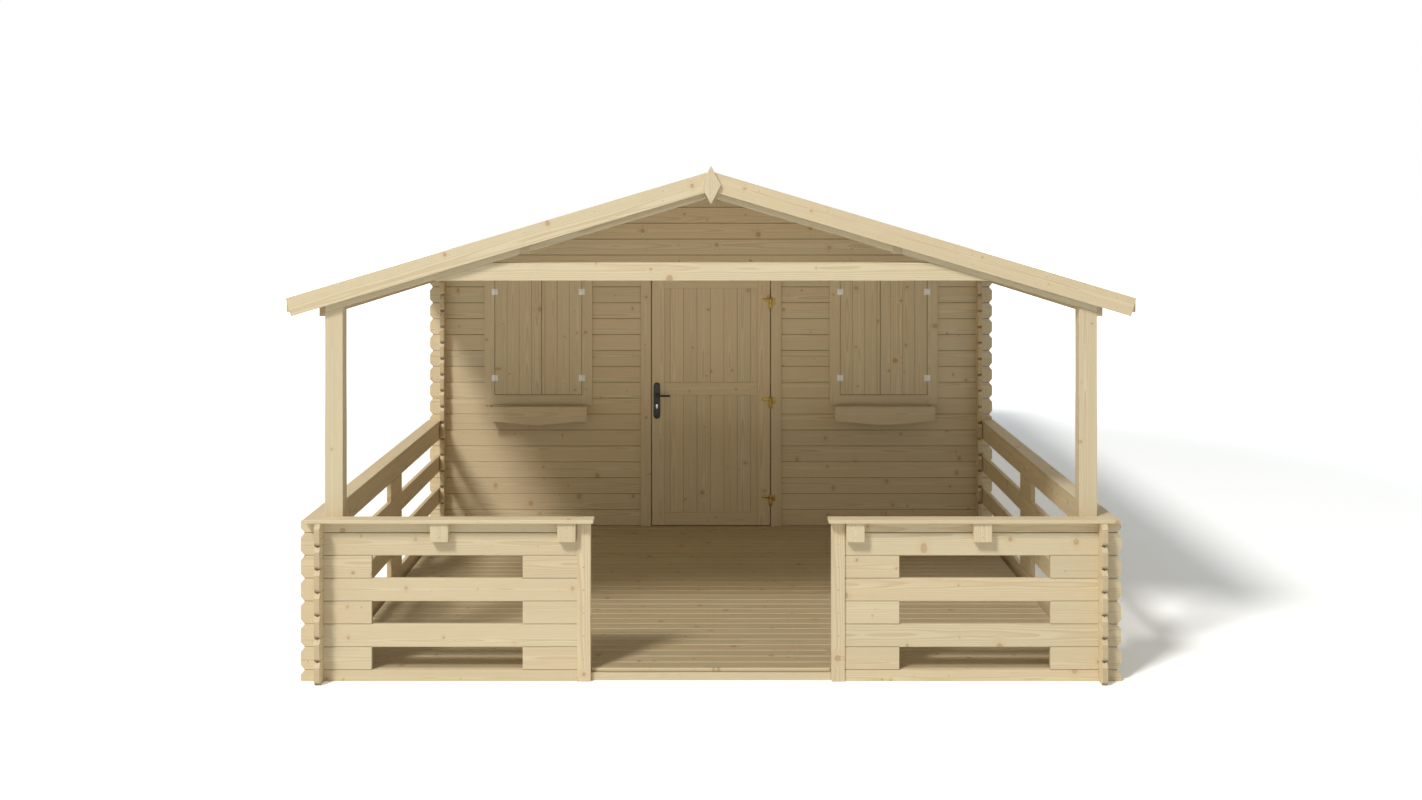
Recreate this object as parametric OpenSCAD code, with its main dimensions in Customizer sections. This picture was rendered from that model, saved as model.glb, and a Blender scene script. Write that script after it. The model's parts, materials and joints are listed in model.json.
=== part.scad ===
// Log shed with a low gable roof and a deep railed veranda in front.
// Interlocking tongue-less logs, a boarded door, two boarded windows, two flower boxes.
// +X is to the right seen from the front, +Y runs to the back, +Z is up.
// The origin is the middle of the footprint, on the ground.

/* [Logs] */
// Height of one full log
log_h = 114; // [90:1:140]
// Thickness of a log
log_t = 28; // [20:1:44]
// Length that a log runs past the corner it crosses
log_end = 86; // [50:1:120]
// Depth of the V along each log joint
joint_v = 3; // [1:0.5:6]
// Corner cut of a log end, along the log
end_cut_l = 20; // [6:1:30]
// Corner cut of a log end, up the log
end_cut_h = 24; // [8:1:30]

/* [Shed] */
// Width over the side walls
shed_w = 3856; // [3400:10:4600]
// Depth over the front and rear walls
shed_d = 4300; // [3000:10:5200]
// Full logs in a side wall
wall_rows = 17; // [16:1:20]

/* [Veranda] */
// From the face of the front railing to the front wall
veranda_d = 3500; // [2400:10:4200]
// Full logs in a side railing
rail_rows = 7; // [5:2:7]
// Gap between the side railings and the side walls' outer faces
rail_gap = 4; // [2:0.5:10]
// Clear way between the two front railings
gate_w = 1200; // [900:2:1600]
// Side of the square posts and of the tie beam
timber = 90; // [70:1:120]
// Depth of the front rafters, square to the slope
rafter_h = 96; // [80:1:140]
// Thickness of the front rafters
rafter_t = 45; // [30:1:60]
// Width of the boards on top of the railings
cap_w = 90; // [70:1:120]
// Thickness of the boards on top of the railings
cap_t = 19; // [15:1:28]
// Length of the corner blocks, inside the corner
corner_block = 240; // [150:1:300]
// Length of the blocks between the slots of a side railing
mid_block = 331; // [200:1:450]
// Length of the blocks beside the entrance
gate_block = 313; // [200:1:400]

/* [Roof] */
// Pitch of the roof in degrees
pitch = 16.6; // [12:0.1:22]
// Thickness of the roof boards
roof_t = 19; // [15:1:25]
// Width of a roof board
roof_board_w = 96; // [80:1:140]
// Roof beyond the outer face of the side walls
eave_run = 172; // [150:1:260]
// Roof beyond the outer face of the rear wall
rear_run = 90; // [90:1:300]
// Width of the bargeboards
barge_w = 95; // [80:1:140]
// Thickness of the bargeboards and trims
trim_t = 18; // [14:1:22]
// Height of the bargeboards above the roof boards
barge_proud = 10; // [0:1:30]
// Width of a purlin
purlin_w = 45; // [35:1:70]
// Depth of a purlin at its higher side
purlin_h = 110; // [90:1:140]
// From the middle of the roof to the inner face of a side purlin
purlin_x = 911; // [700:1:1000]

/* [Door] */
// Width of the door leaf
leaf_w = 844; // [750:1:950]
// Thickness of the door leaf
leaf_t = 40; // [34:1:50]
// Gap beside the door leaf
leaf_gap = 7; // [6.5:0.5:9]
// Gap above and below the door leaf
leaf_gap_z = 5.5; // [5:0.5:8]
// Width of the door's stiles
stile_w = 91; // [80:1:120]
// Height of the door's rails
door_rail_h = 90; // [70:1:120]
// Middle of the door's middle rail above the ground
mid_rail_z = 1040; // [900:1:1100]
// Width of a door board
door_board_w = 96; // [80:1:120]

/* [Windows] */
// From the middle of the front to the inner edge of a window leaf opening
window_x = 922.5; // [880:0.5:1000]
// Width of a window opening inside its frame
window_w = 625; // [500:1:680]
// Half logs below the windows
window_sill_rows = 8; // [6:1:10]
// Width of a board of the window leaves
window_board_w = 87; // [70:1:110]
// Gap round the window leaves
window_gap = 3; // [2:0.5:5]
// Width of the casing round the windows and the door
casing_w = 73; // [60:1:95]

/* [Flower boxes] */
// Width of a flower box
box_w = 708; // [600:2:760]
// Height of a flower box's front at its ends
box_h = 104; // [90:1:130]
// Height of a flower box's sides and back
box_side_h = 73; // [60:1:100]
// How far a flower box stands out from the wall
box_d = 120; // [90:1:160]
// Drop of the curved lower edge
box_wave = 26; // [0:1:40]

/* [Deck] */
// Top of the deck and of the floor
deck_z = 58; // [50:1:70]
// Thickness of the deck boards
deck_t = 18; // [15:1:28]
// Distance from one deck board to the next
deck_pitch = 105; // [80:1:140]
// Gap between two deck boards
deck_gap = 5; // [3:0.5:8]
// Width of a floor board inside the shed
floor_board_w = 96; // [80:1:140]

/* [Hidden] */
$fn = 32;

half_log = log_h / 2;
quarter_log = log_h / 4;
half_w = shed_w / 2;
wall_in = half_w - log_t;
rail_x = half_w + rail_gap;
rail_out = rail_x + log_t;
slope = tan(pitch);
plumb = 1 / cos(pitch);

// Hair gaps under the roof boards and behind the bargeboards
roof_seat = 0.05;
trim_seat = 0.1;

// Distances along Y, from the outer face of the front railings
wall_y = veranda_d;
wall_back = wall_y + log_t;
rear_face = veranda_d + shed_d;
rear_in = rear_face - log_t;
roof_front = 1;
roof_back = rear_face + rear_run;
post_y = log_t;
rear_end = roof_back + 2 * trim_t + trim_seat;
front_end = -log_end;
front_y = -(front_end + rear_end) / 2;

// Heights
roof_z = wall_rows * log_h + slope * half_w;
rail_z = rail_rows * log_h;
rail_gap_rows = [for (n = [1 : 2 : rail_rows - 2]) n];
rail_log_rows = [for (n = [0 : 2 : rail_rows - 1]) n];
head_rows = wall_rows - 1;
head_z = half_log + head_rows * log_h;
window_z = half_log + window_sill_rows * log_h;
rafter_drop = rafter_h * plumb;
tie_drop = 517;
tie_z = roof_z - tie_drop;
ridge_purlin_h = 100;

// Frames round the openings
frame_t = 26;
frame_in = 17;
face_y = wall_y - trim_t;
door_half = leaf_w / 2 + leaf_gap;
door_rough = door_half + frame_t;
door_top = head_z - frame_t;
stop_w = 14;

// Railing lengths
gate_half = gate_w / 2;
end_post_w = 68;
end_post_side = 8;
end_post_back = 26;
wing_in = gate_half + end_post_back;
wing_slot_in = wing_in + gate_block;
wing_slot_out = rail_x - corner_block;
rail_slot_y = log_t + corner_block;
mid_block_forward = 15;
rail_mid_y = (rail_slot_y + wall_y - mid_block) / 2 - mid_block_forward;
rail_mid_end = rail_mid_y + mid_block;

pine = [0.80, 0.70, 0.52];
pine_light = [0.86, 0.76, 0.58];
brass = [0.72, 0.55, 0.20];
black_iron = [0.05, 0.05, 0.05];
nickel = [0.75, 0.75, 0.73];
white_plastic = [0.92, 0.92, 0.90];

// Height of the underside of the roof boards at a distance from the middle
function roof_under(x) = roof_z - slope * abs(x);

// Joint heights of a wall that starts with a full log, or with a half log
function full_joints(first, last) = [for (n = [first : last]) n * log_h];
function half_joints(first, last) = [for (n = [first : last]) half_log + n * log_h];

function reversed(points) = [for (i = [len(points) - 1 : -1 : 0]) points[i]];

// One side of a stack's outline: each log's corners are cut by dx and dz, but a log that is less
// than whole is square where it was sawn: on the ground or at the top
function log_edges(x, inward, dx, dz, zs) = [for (i = [0 : len(zs) - 2])
    let (
        low = zs[i],
        high = zs[i + 1],
        whole = high - low > 0.9 * log_h,
        up = min(dz, 0.45 * (high - low))
    ) each concat(
        whole || low > 0 ? [[x + inward * dx, low], [x, low + up]] : [[x, low]],
        whole || low == 0 ? [[x, high - up], [x + inward * dx, high]] : [[x, high]]
    )
];

// Section of a stack of logs, with a V at each joint
function log_section(zs) = concat(
    log_edges(0, 1, joint_v, joint_v, zs),
    reversed(log_edges(log_t, -1, joint_v, joint_v, zs))
);

// End of a stack: cut corners where it is free, plain where it butts
function end_points(x, inward, zs, free) = free
    ? log_edges(x, inward, end_cut_l, end_cut_h, zs)
    : [[x, zs[0]], [x, zs[len(zs) - 1]]];

// Stack of logs along X from lo to hi, its outer face at y = 0
module log_stack(lo, hi, zs, free_lo = false, free_hi = false) {
    intersection() {
        translate([0, log_t, 0]) rotate([90, 0, 0]) linear_extrude(log_t)
            polygon(concat(end_points(lo, 1, zs, free_lo),
                           reversed(end_points(hi, -1, zs, free_hi))));
        translate([lo, 0, 0]) rotate([90, 0, 90]) linear_extrude(hi - lo)
            polygon(log_section(zs));
    }
}

// Slots that the side logs fill in a front log, at a corner from x to x + log_t
module side_log_slots(x, rows) {
    for (n = [0 : rows])
        translate([x, -1, n * log_h + quarter_log]) cube([log_t, log_t + 2, half_log]);
}

// Slots that the front logs fill in a side log
module front_log_slots(x, rows) {
    for (n = [0 : rows])
        translate([x, -1, n * log_h - quarter_log]) cube([log_t, log_t + 2, half_log]);
}

// A stack along the front: outer face at y, crossed by side logs at each given x
module front_stack(y, lo, hi, zs, free_lo, free_hi, crossings, rows) {
    translate([0, y, 0]) difference() {
        log_stack(lo, hi, zs, free_lo, free_hi);
        for (x = crossings) side_log_slots(x, rows);
    }
}

// A stack along a side, on the right: inner face at x, crossed by front logs at each y
module side_stack(x, lo, hi, zs, free_lo, free_hi, crossings, rows) {
    translate([x + log_t, 0, 0]) rotate([0, 0, 90]) difference() {
        log_stack(lo, hi, zs, free_lo, free_hi);
        for (y = crossings) front_log_slots(y, rows);
    }
}

module in_place() {
    translate([0, front_y, 0]) children();
}

// Mirrors a right-hand piece to the left
module to_left() {
    mirror([1, 0, 0]) children();
}

// Everything under the roof boards, between two Y planes
module under_roof(y0, y1) {
    wide = half_w + eave_run + log_end;
    translate([0, y1, 0]) rotate([90, 0, 0]) linear_extrude(y1 - y0)
        polygon([[-wide, -1], [wide, -1], [wide, roof_under(wide)], [0, roof_z], [-wide, roof_under(wide)]]);
}

// Section of boards side by side, with a V at each joint on top, and on the underside too where asked
board_v = 2;
function board_section(total, w, t, both) = let (
    edge = [for (i = [1 : ceil(total / w) - 1]) if (i * w < total - 2 * board_v) i * w]
) concat(
    [[0, 0]],
    both ? [for (y = edge) each [[y - board_v, 0], [y, board_v], [y + board_v, 0]]] : [],
    [[total, 0], [total, t]],
    [for (y = reversed(edge)) each [[y + board_v, t], [y, t - board_v], [y - board_v, t]]],
    [[0, t]]
);

// Bar along Y with a level bottom, its top on the slope of the right half of the roof or above it
module roof_bar(x0, x1, z0, y0, y1, above = 0) {
    translate([0, y1, 0]) rotate([90, 0, 0]) linear_extrude(y1 - y0)
        polygon([[x0, z0], [x1, z0], [x1, roof_under(x1) + above], [x0, roof_under(x0) + above]]);
}

// Ridge purlin and side purlins, or the notches for them, which run on above the roof line
module purlin_bars(above = 0) {
    ridge_half = purlin_w / 2;
    ridge_z = roof_z - ridge_purlin_h;
    side_z = roof_under(purlin_x) - purlin_h;
    translate([0, roof_back, 0]) rotate([90, 0, 0]) linear_extrude(roof_back - post_y)
        polygon([[-ridge_half, ridge_z], [ridge_half, ridge_z],
                 [ridge_half, roof_under(ridge_half) + above], [0, roof_z + above],
                 [-ridge_half, roof_under(ridge_half) + above]]);
    for (m = [0, 1]) mirror([m, 0, 0])
        roof_bar(purlin_x, purlin_x + purlin_w, side_z, post_y, roof_back, above);
}

module purlins() {
    color(pine) in_place() purlin_bars();
}

// Right-hand wall of the shed
module side_wall() {
    zs = concat(full_joints(0, wall_rows - 1), [roof_under(wall_in) + joint_v]);
    in_place() intersection() {
        side_stack(wall_in, wall_y - log_end, rear_face + log_end, zs, true, true,
                   [wall_y, rear_in], wall_rows);
        under_roof(wall_y - log_end - 1, rear_face + log_end + 1);
    }
}

module right_wall() {
    color(pine) side_wall();
}

module left_wall() {
    color(pine) to_left() side_wall();
}

// Logs across the shed from one corner to the other, cut to the roof and round the purlins
module gable_stack(y, zs) {
    reach = half_w + log_end;
    difference() {
        intersection() {
            front_stack(y, -reach, reach, zs, true, true, [-half_w, wall_in], wall_rows);
            under_roof(y - 1, y + log_t + 1);
        }
        purlin_bars(log_h);
    }
}

gable_top_row = ceil((roof_z - half_log) / log_h);

module rear_wall() {
    color(pine) in_place()
        gable_stack(rear_in, concat([0], half_joints(0, gable_top_row)));
}

module front_gable() {
    color(pine) in_place()
        gable_stack(wall_y, half_joints(head_rows, gable_top_row));
}

module front_sill_log() {
    reach = half_w + log_end;
    color(pine) in_place()
        front_stack(wall_y, -reach, reach, [0, half_log], true, true, [-half_w, wall_in], wall_rows);
}

// Right-hand front wall, between the door and the corner, open at the window
module front_wall() {
    reach = half_w + log_end;
    in_place() difference() {
        front_stack(wall_y, door_rough, reach, half_joints(0, head_rows), false, true,
                    [wall_in], wall_rows);
        translate([window_x - frame_t, wall_y - 1, window_z])
            cube([window_w + 2 * frame_t, log_t + 2, head_z]);
    }
}

module front_wall_right() {
    color(pine) front_wall();
}

module front_wall_left() {
    color(pine) to_left() front_wall();
}

// Floor inside the shed, of boards across the joists
floor_clear = 4;
floor_depth = shed_d - 2 * (log_t + floor_clear);
module shed_floor() {
    color(pine) in_place()
        translate([-wall_in + floor_clear, wall_back + floor_clear, deck_z - deck_t])
            rotate([90, 0, 90]) linear_extrude(2 * (wall_in - floor_clear))
                polygon(board_section(floor_depth, floor_board_w, deck_t, false));
}

joist_w = 45;
joist_count = 9;
module floor_joists() {
    reach = rail_x - timber - joist_w - deck_clear;
    step = 2 * reach / (joist_count - 1);
    color(pine) in_place()
        for (i = [0 : joist_count - 1]) translate([-reach + i * step - joist_w / 2, 0, 0]) {
            translate([0, post_y + deck_gap + joist_w, 0])
                cube([joist_w, wall_y - post_y - deck_gap - joist_w, deck_z - deck_t]);
            translate([0, wall_back + floor_clear, 0])
                cube([joist_w, floor_depth, deck_z - deck_t]);
        }
}

// Deck boards across the veranda, cut round the posts
deck_front = log_t + 4;
deck_clear = 3;
module deck_boards() {
    count = round((wall_y - deck_front) / deck_pitch);
    half = wall_in - floor_clear;
    color(pine) in_place() difference() {
        for (i = [0 : count - 1]) {
            front = deck_front + i * deck_pitch;
            back = i < count - 1 ? front + deck_pitch - deck_gap : wall_y - deck_gap;
            translate([-half, front, deck_z - deck_t]) cube([2 * half, back - front, deck_t]);
        }
        for (m = [0, 1]) mirror([m, 0, 0]) {
            translate([rail_x - timber - deck_clear, 0, 0])
                cube([timber, post_y + timber + deck_clear, deck_z + 1]);
            translate([gate_half - deck_clear, 0, 0])
                cube([end_post_w + 2 * deck_clear, log_t + end_post_side + deck_clear, deck_z + 1]);
        }
    }
}

sill_y = 15;
module entrance_sill() {
    color(pine_light) in_place()
        translate([-gate_half, sill_y, 0]) cube([gate_w, joist_w + deck_gap + post_y - sill_y, deck_z - deck_t]);
}

// Beams outside the posts, from the front frame back to the wall logs
eave_lap = 20;
module eave_beams() {
    lower = roof_under(half_w) - rafter_drop - eave_lap;
    color(pine) in_place() for (m = [0, 1]) mirror([m, 0, 0])
        roof_bar(rail_x, rail_out, lower, post_y, wall_y);
}

// Right-hand roof slope of boards that run from ridge to eave
module roof_slope_boards() {
    eave = half_w + eave_run;
    depth = roof_back - roof_front;
    in_place() intersection() {
        translate([0, roof_front, roof_z + roof_seat]) rotate([0, pitch, 0])
            translate([-roof_t, 0, 0]) rotate([90, 0, 90]) linear_extrude(eave * plumb + roof_t)
                polygon(board_section(depth, roof_board_w, roof_t, true));
        translate([0, roof_back + 1, 0]) rotate([90, 0, 0]) linear_extrude(depth + 2)
            polygon([[0, roof_under(eave) - 1], [eave, roof_under(eave) - 1],
                     [eave, roof_z + 2 * roof_t], [0, roof_z + 2 * roof_t]]);
    }
}

module right_roof() {
    color(pine) roof_slope_boards();
}

module left_roof() {
    color(pine) to_left() roof_slope_boards();
}

module tie_beam() {
    lower = roof_z - rafter_drop;
    color(pine_light) in_place() translate([0, post_y + timber, 0]) rotate([90, 0, 0])
        linear_extrude(timber) polygon([
            [-(lower - tie_z) / slope, tie_z], [(lower - tie_z) / slope, tie_z],
            [(lower - tie_z - timber) / slope, tie_z + timber], [-(lower - tie_z - timber) / slope, tie_z + timber]
        ]);
}

// Part of a right-hand rafter from x0 to x1
module rafter_length(x0, x1) {
    translate([0, post_y + rafter_t, 0]) rotate([90, 0, 0]) linear_extrude(rafter_t)
        polygon([[x0, roof_under(x0) - rafter_drop], [x1, roof_under(x1) - rafter_drop],
                 [x1, roof_under(x1)], [x0, roof_under(x0)]]);
}

// Rafters in lengths that fit between the purlins and the eave beams
module front_rafters() {
    color(pine_light) in_place() for (m = [0, 1]) mirror([m, 0, 0]) {
        rafter_length(purlin_w / 2, purlin_x);
        rafter_length(purlin_x + purlin_w, rail_x);
    }
}

// Right-hand bargeboard, its front face at y, with a plumb cut at the ridge
ridge_gap = 0.5;
module bargeboard(y) {
    tip = half_w + eave_run + trim_t;
    top = roof_z + roof_t * plumb + barge_proud;
    foot = tip - barge_w * sin(pitch);
    translate([0, y + trim_t, 0]) rotate([90, 0, 0]) linear_extrude(trim_t)
        polygon([[ridge_gap, top - slope * ridge_gap - barge_w * plumb],
                 [foot, top - slope * tip - barge_w * cos(pitch)],
                 [tip, top - slope * tip], [ridge_gap, top - slope * ridge_gap]]);
}

module bargeboards() {
    color(pine_light) in_place() for (m = [0, 1]) mirror([m, 0, 0]) {
        bargeboard(roof_front - trim_t - trim_seat);
        bargeboard(roof_back + trim_seat);
    }
}

diamond_w = 100;
diamond_h = 193;
diamond_z = roof_z - 39;
module ridge_diamonds() {
    color(pine_light) in_place() for (y = [roof_front - trim_t - trim_seat, roof_back + 2 * trim_t + trim_seat])
        translate([0, y, diamond_z]) rotate([90, 0, 0]) linear_extrude(trim_t)
            polygon([[0, -diamond_h / 2], [diamond_w / 2, 0], [0, diamond_h / 2], [-diamond_w / 2, 0]]);
}

// Boards on the lower ends of the roof boards
eave_board_h = 66;
module eave_boards() {
    inner = half_w + eave_run;
    top = roof_under(inner) + roof_t * plumb;
    color(pine_light) in_place() for (m = [0, 1]) mirror([m, 0, 0])
        translate([inner, roof_front, top - eave_board_h])
            cube([trim_t, roof_back - roof_front, eave_board_h]);
}

module corner_posts() {
    color(pine_light) in_place() for (m = [0, 1]) mirror([m, 0, 0])
        translate([0, post_y + timber, 0]) rotate([90, 0, 0]) linear_extrude(timber)
            polygon([[rail_x - timber, 0], [rail_x, 0], [rail_x, roof_under(rail_x) - rafter_drop],
                     [rail_x - timber, roof_under(rail_x - timber) - rafter_drop]]);
}

// Right-hand side railing: logs from the front corner to the wall
module rail_logs() {
    in_place() for (n = rail_log_rows)
        side_stack(rail_x, -log_end, wall_y, full_joints(n, n + 1), true, false, [0], rail_rows);
}

module rail_blocks() {
    in_place() for (n = rail_gap_rows) {
        side_stack(rail_x, -log_end, rail_slot_y, full_joints(n, n + 1), true, false, [0], rail_rows);
        side_stack(rail_x, rail_mid_y, rail_mid_end, full_joints(n, n + 1), false, false, [], rail_rows);
    }
}

module right_rail_logs() {
    color(pine) rail_logs();
}

module left_rail_logs() {
    color(pine) to_left() rail_logs();
}

module right_rail_blocks() {
    color(pine) rail_blocks();
}

module left_rail_blocks() {
    color(pine) to_left() rail_blocks();
}

// Right-hand front railing: a half log, full logs over the gaps and a double top
module wing_logs() {
    reach = rail_out + log_end;
    last = rail_rows - 1;
    in_place() {
        front_stack(0, wing_in, reach, [0, half_log], false, true, [rail_x], rail_rows);
        for (n = [1 : 2 : last - 2])
            front_stack(0, wing_in, reach, half_joints(n, n + 1), false, true, [rail_x], rail_rows);
        front_stack(0, wing_in, reach, concat(half_joints(last - 1, last), [rail_z]),
                    false, true, [rail_x], rail_rows);
    }
}

module wing_blocks() {
    reach = rail_out + log_end;
    in_place() for (n = [0 : 2 : rail_rows - 3]) {
        front_stack(0, wing_in, wing_slot_in, half_joints(n, n + 1), false, false, [], rail_rows);
        front_stack(0, wing_slot_out, reach, half_joints(n, n + 1), false, true, [rail_x], rail_rows);
    }
}

module right_wing_logs() {
    color(pine_light) wing_logs();
}

module left_wing_logs() {
    color(pine_light) to_left() wing_logs();
}

module right_wing_blocks() {
    color(pine_light) wing_blocks();
}

module left_wing_blocks() {
    color(pine_light) to_left() wing_blocks();
}

// Boards on top of the railings, mitred at the corner
mitre_gap = 0.7;
cap_front = -(cap_w - log_t);
cap_past_gate = 17;
module rail_caps() {
    color(pine_light) in_place() for (m = [0, 1]) mirror([m, 0, 0]) translate([0, 0, rail_z]) {
        linear_extrude(cap_t) polygon([
            [gate_half - cap_past_gate, cap_front], [rail_x + cap_w - mitre_gap, cap_front],
            [rail_x - mitre_gap, log_t], [gate_half - cap_past_gate, log_t]
        ]);
        linear_extrude(cap_t) polygon([
            [rail_x + cap_w, cap_front + mitre_gap], [rail_x + cap_w, wall_y],
            [rail_x, wall_y], [rail_x, log_t + mitre_gap]
        ]);
    }
}

// Posts beside the entrance, grooved to take the ends of the logs
module wing_end_posts() {
    color(pine_light) in_place() for (m = [0, 1]) mirror([m, 0, 0])
        linear_extrude(rail_z) polygon([
            [gate_half, -end_post_side], [gate_half + end_post_w, -end_post_side], [gate_half + end_post_w, 0],
            [wing_in, 0], [wing_in, log_t], [gate_half + end_post_w, log_t],
            [gate_half + end_post_w, log_t + end_post_side], [gate_half, log_t + end_post_side]
        ]);
}

corbel_w = 90;
corbel_h = 95;
corbel_d = 48;
corbel_off = 4;
corbel_in = 12;
module corbel_blocks() {
    mid = (wing_slot_in + wing_slot_out) / 2;
    color(pine_light) in_place() for (m = [0, 1]) mirror([m, 0, 0])
        for (x = [gate_half + end_post_w + corbel_off, mid - corbel_in])
            translate([x, -corbel_d, rail_z - corbel_h]) cube([corbel_w, corbel_d, corbel_h]);
}

// Door: jambs and head in the opening, a stop behind the leaf, and the casing outside
module door_frame() {
    color(pine) in_place() difference() {
        union() {
            translate([-door_half - casing_w, face_y, deck_z])
                cube([2 * (door_half + casing_w), trim_t, door_top + casing_w - deck_z]);
            translate([-door_rough, wall_y, deck_z])
                cube([2 * door_rough, log_t + frame_in, head_z - deck_z]);
        }
        translate([-door_half, face_y - 1, 0])
            cube([2 * door_half, leaf_t + leaf_gap + 1, door_top]);
        translate([-door_half + stop_w, face_y - 1, 0])
            cube([2 * (door_half - stop_w), trim_t + log_t + frame_in + 2, door_top - stop_w]);
    }
}

// A panel of boards along Z, from x0 to x1, with a V at every board joint on both faces
module board_panel(x0, x1, y0, t, z0, z1, joints) {
    v = board_v;
    inside = [for (x = joints) if (x > x0 + 2 * v && x < x1 - 2 * v) x];
    translate([0, 0, z0]) linear_extrude(z1 - z0) polygon(concat(
        [[x0, y0]],
        [for (x = inside) each [[x - v, y0], [x, y0 + v], [x + v, y0]]],
        [[x1, y0], [x1, y0 + t]],
        [for (x = reversed(inside)) each [[x + v, y0 + t], [x, y0 + t - v], [x - v, y0 + t]]],
        [[x0, y0 + t]]
    ));
}

leaf_z0 = deck_z + leaf_gap_z;
leaf_z1 = door_top - leaf_gap_z;
panel_t = 20;
panel_in = 8;
door_joint_x = -4;
spindle_x = -387;
spindle_z = 994;
spindle_run = 0.6;
module door_leaf() {
    half = leaf_w / 2;
    color(pine) in_place() difference() {
        union() {
            board_panel(-half + stile_w / 2, half - stile_w / 2, face_y + panel_in, panel_t,
                        leaf_z0 + door_rail_h / 2, leaf_z1 - door_rail_h / 2,
                        [for (k = [-4 : 4]) door_joint_x + k * door_board_w]);
            for (x = [-half, half - stile_w])
                translate([x, face_y, leaf_z0]) cube([stile_w, leaf_t, leaf_z1 - leaf_z0]);
            for (z = [leaf_z0, mid_rail_z - door_rail_h / 2, leaf_z1 - door_rail_h])
                translate([-half, face_y, z]) cube([leaf_w, leaf_t, door_rail_h]);
        }
        translate([spindle_x, face_y - 1, spindle_z]) rotate([-90, 0, 0])
            cylinder(r = spindle_r + spindle_run, h = leaf_t + 2);
        lock_barrel(lock_clear);
    }
}

// Hinges with a barrel in front of the gap between leaf and casing
hinge_zs = [leaf_z1 - 176, mid_rail_z - 75, leaf_z0 + 205];
hinge_h = 28;
hinge_t = 3;
barrel_r = 11;
barrel_drop = 46;
pin_r = 5;
pin_run = 0.1;
pivot_x = leaf_w / 2 + leaf_gap / 2;
pivot_y = face_y - barrel_r - 1;
strap_l = 64;
strap_tip = 9;
frame_plate_l = 33;
plate_lap = 16;
module door_hinge_straps() {
    color(brass) in_place() for (z = hinge_zs) translate([pivot_x, pivot_y, z - hinge_h / 2]) difference() {
        union() {
            cylinder(r = barrel_r, h = hinge_h);
            translate([0, barrel_r + 1, hinge_h / 2]) rotate([90, 0, 0]) linear_extrude(hinge_t) {
                polygon([[0, -hinge_h / 2], [0, hinge_h / 2], [strap_tip - strap_l, strap_tip],
                         [strap_tip - strap_l, -strap_tip]]);
                translate([strap_tip - strap_l, 0]) circle(strap_tip);
            }
        }
        translate([0, 0, -1]) cylinder(r = pin_r + pin_run, h = hinge_h - 4);
    }
}

module door_hinge_plates() {
    pin_h = hinge_h - 10;
    color(brass) in_place() for (z = hinge_zs)
        translate([pivot_x, pivot_y, z - hinge_h / 2 - 0.5]) union() {
            translate([0, 0, -barrel_drop]) cylinder(r = barrel_r, h = barrel_drop);
            cylinder(r = pin_r, h = pin_h);
            translate([0, barrel_r + 1 - hinge_t, -plate_lap]) cube([frame_plate_l, hinge_t, plate_lap]);
            translate([barrel_r + 2, barrel_r + 1 - hinge_t, -plate_lap])
                cube([frame_plate_l - barrel_r - 2, hinge_t, hinge_h + plate_lap]);
        }
}

// Long plates on both faces of the leaf, with a lock cylinder, and the lever pair on one spindle
plate_w = 48;
plate_h = 260;
plate_t = 8;
plate_rim_t = 5;
plate_rim = 4;
plate_z = 825;
spindle_r = 5;
lever_out = 42;
lever_l = 96;
lever_r = 7.5;
lever_bend = 15;
neck_r = 9;
collar_r = 12;
collar_t = 5;
lock_drop = 72;
lock_r = 8.5;
lock_web_r = 5;
lock_h = 33;
lock_proud = 2;
lock_clear = 0.3;

// A shape drawn with its middle line on the lock side, from y0 towards the back by t
module on_lock_side(y0, t, z) {
    translate([spindle_x, y0 + t, z]) rotate([90, 0, 0]) linear_extrude(t) children();
}

// Round-ended outline of a long plate
module plate_outline(inset) {
    r = plate_w / 2 - inset;
    for (z = [plate_w / 2, plate_h - plate_w / 2]) translate([0, z]) circle(r);
    translate([-r, plate_w / 2]) square([2 * r, plate_h - plate_w]);
}

// Lock cylinder: a round barrel over a narrower web, or the hole for it
module lock_barrel(clear) {
    web = lock_web_r + clear;
    foot = lock_h - lock_r - lock_web_r;
    y0 = face_y - plate_t - lock_proud - clear;
    on_lock_side(y0, leaf_t + 2 * (plate_t + lock_proud + clear), spindle_z - lock_drop) {
        circle(lock_r + clear);
        translate([0, -foot]) circle(web);
        translate([-web, -foot]) square([2 * web, foot]);
    }
}

key_w = 1.6;
key_h = 8;
key_deep = 4;
module door_handle_plates() {
    y0 = face_y - plate_t;
    y1 = face_y + leaf_t;
    color(black_iron) in_place() difference() {
        union() {
            on_lock_side(y0, plate_t, plate_z) plate_outline(plate_rim);
            on_lock_side(y1, plate_t, plate_z) plate_outline(plate_rim);
            on_lock_side(face_y - plate_rim_t, plate_rim_t, plate_z) plate_outline(0);
            on_lock_side(y1, plate_rim_t, plate_z) plate_outline(0);
        }
        translate([spindle_x, y0 - 1, spindle_z]) rotate([-90, 0, 0])
            cylinder(r = spindle_r + spindle_run, h = leaf_t + 2 * plate_t + 2);
        lock_barrel(lock_clear);
    }
    color(nickel) in_place() difference() {
        lock_barrel(0);
        for (y = [y0 - lock_proud - 1, y1 + plate_t + lock_proud - key_deep])
            on_lock_side(y, key_deep + 1, spindle_z - lock_drop) square([key_w, key_h], center = true);
    }
}

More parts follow.
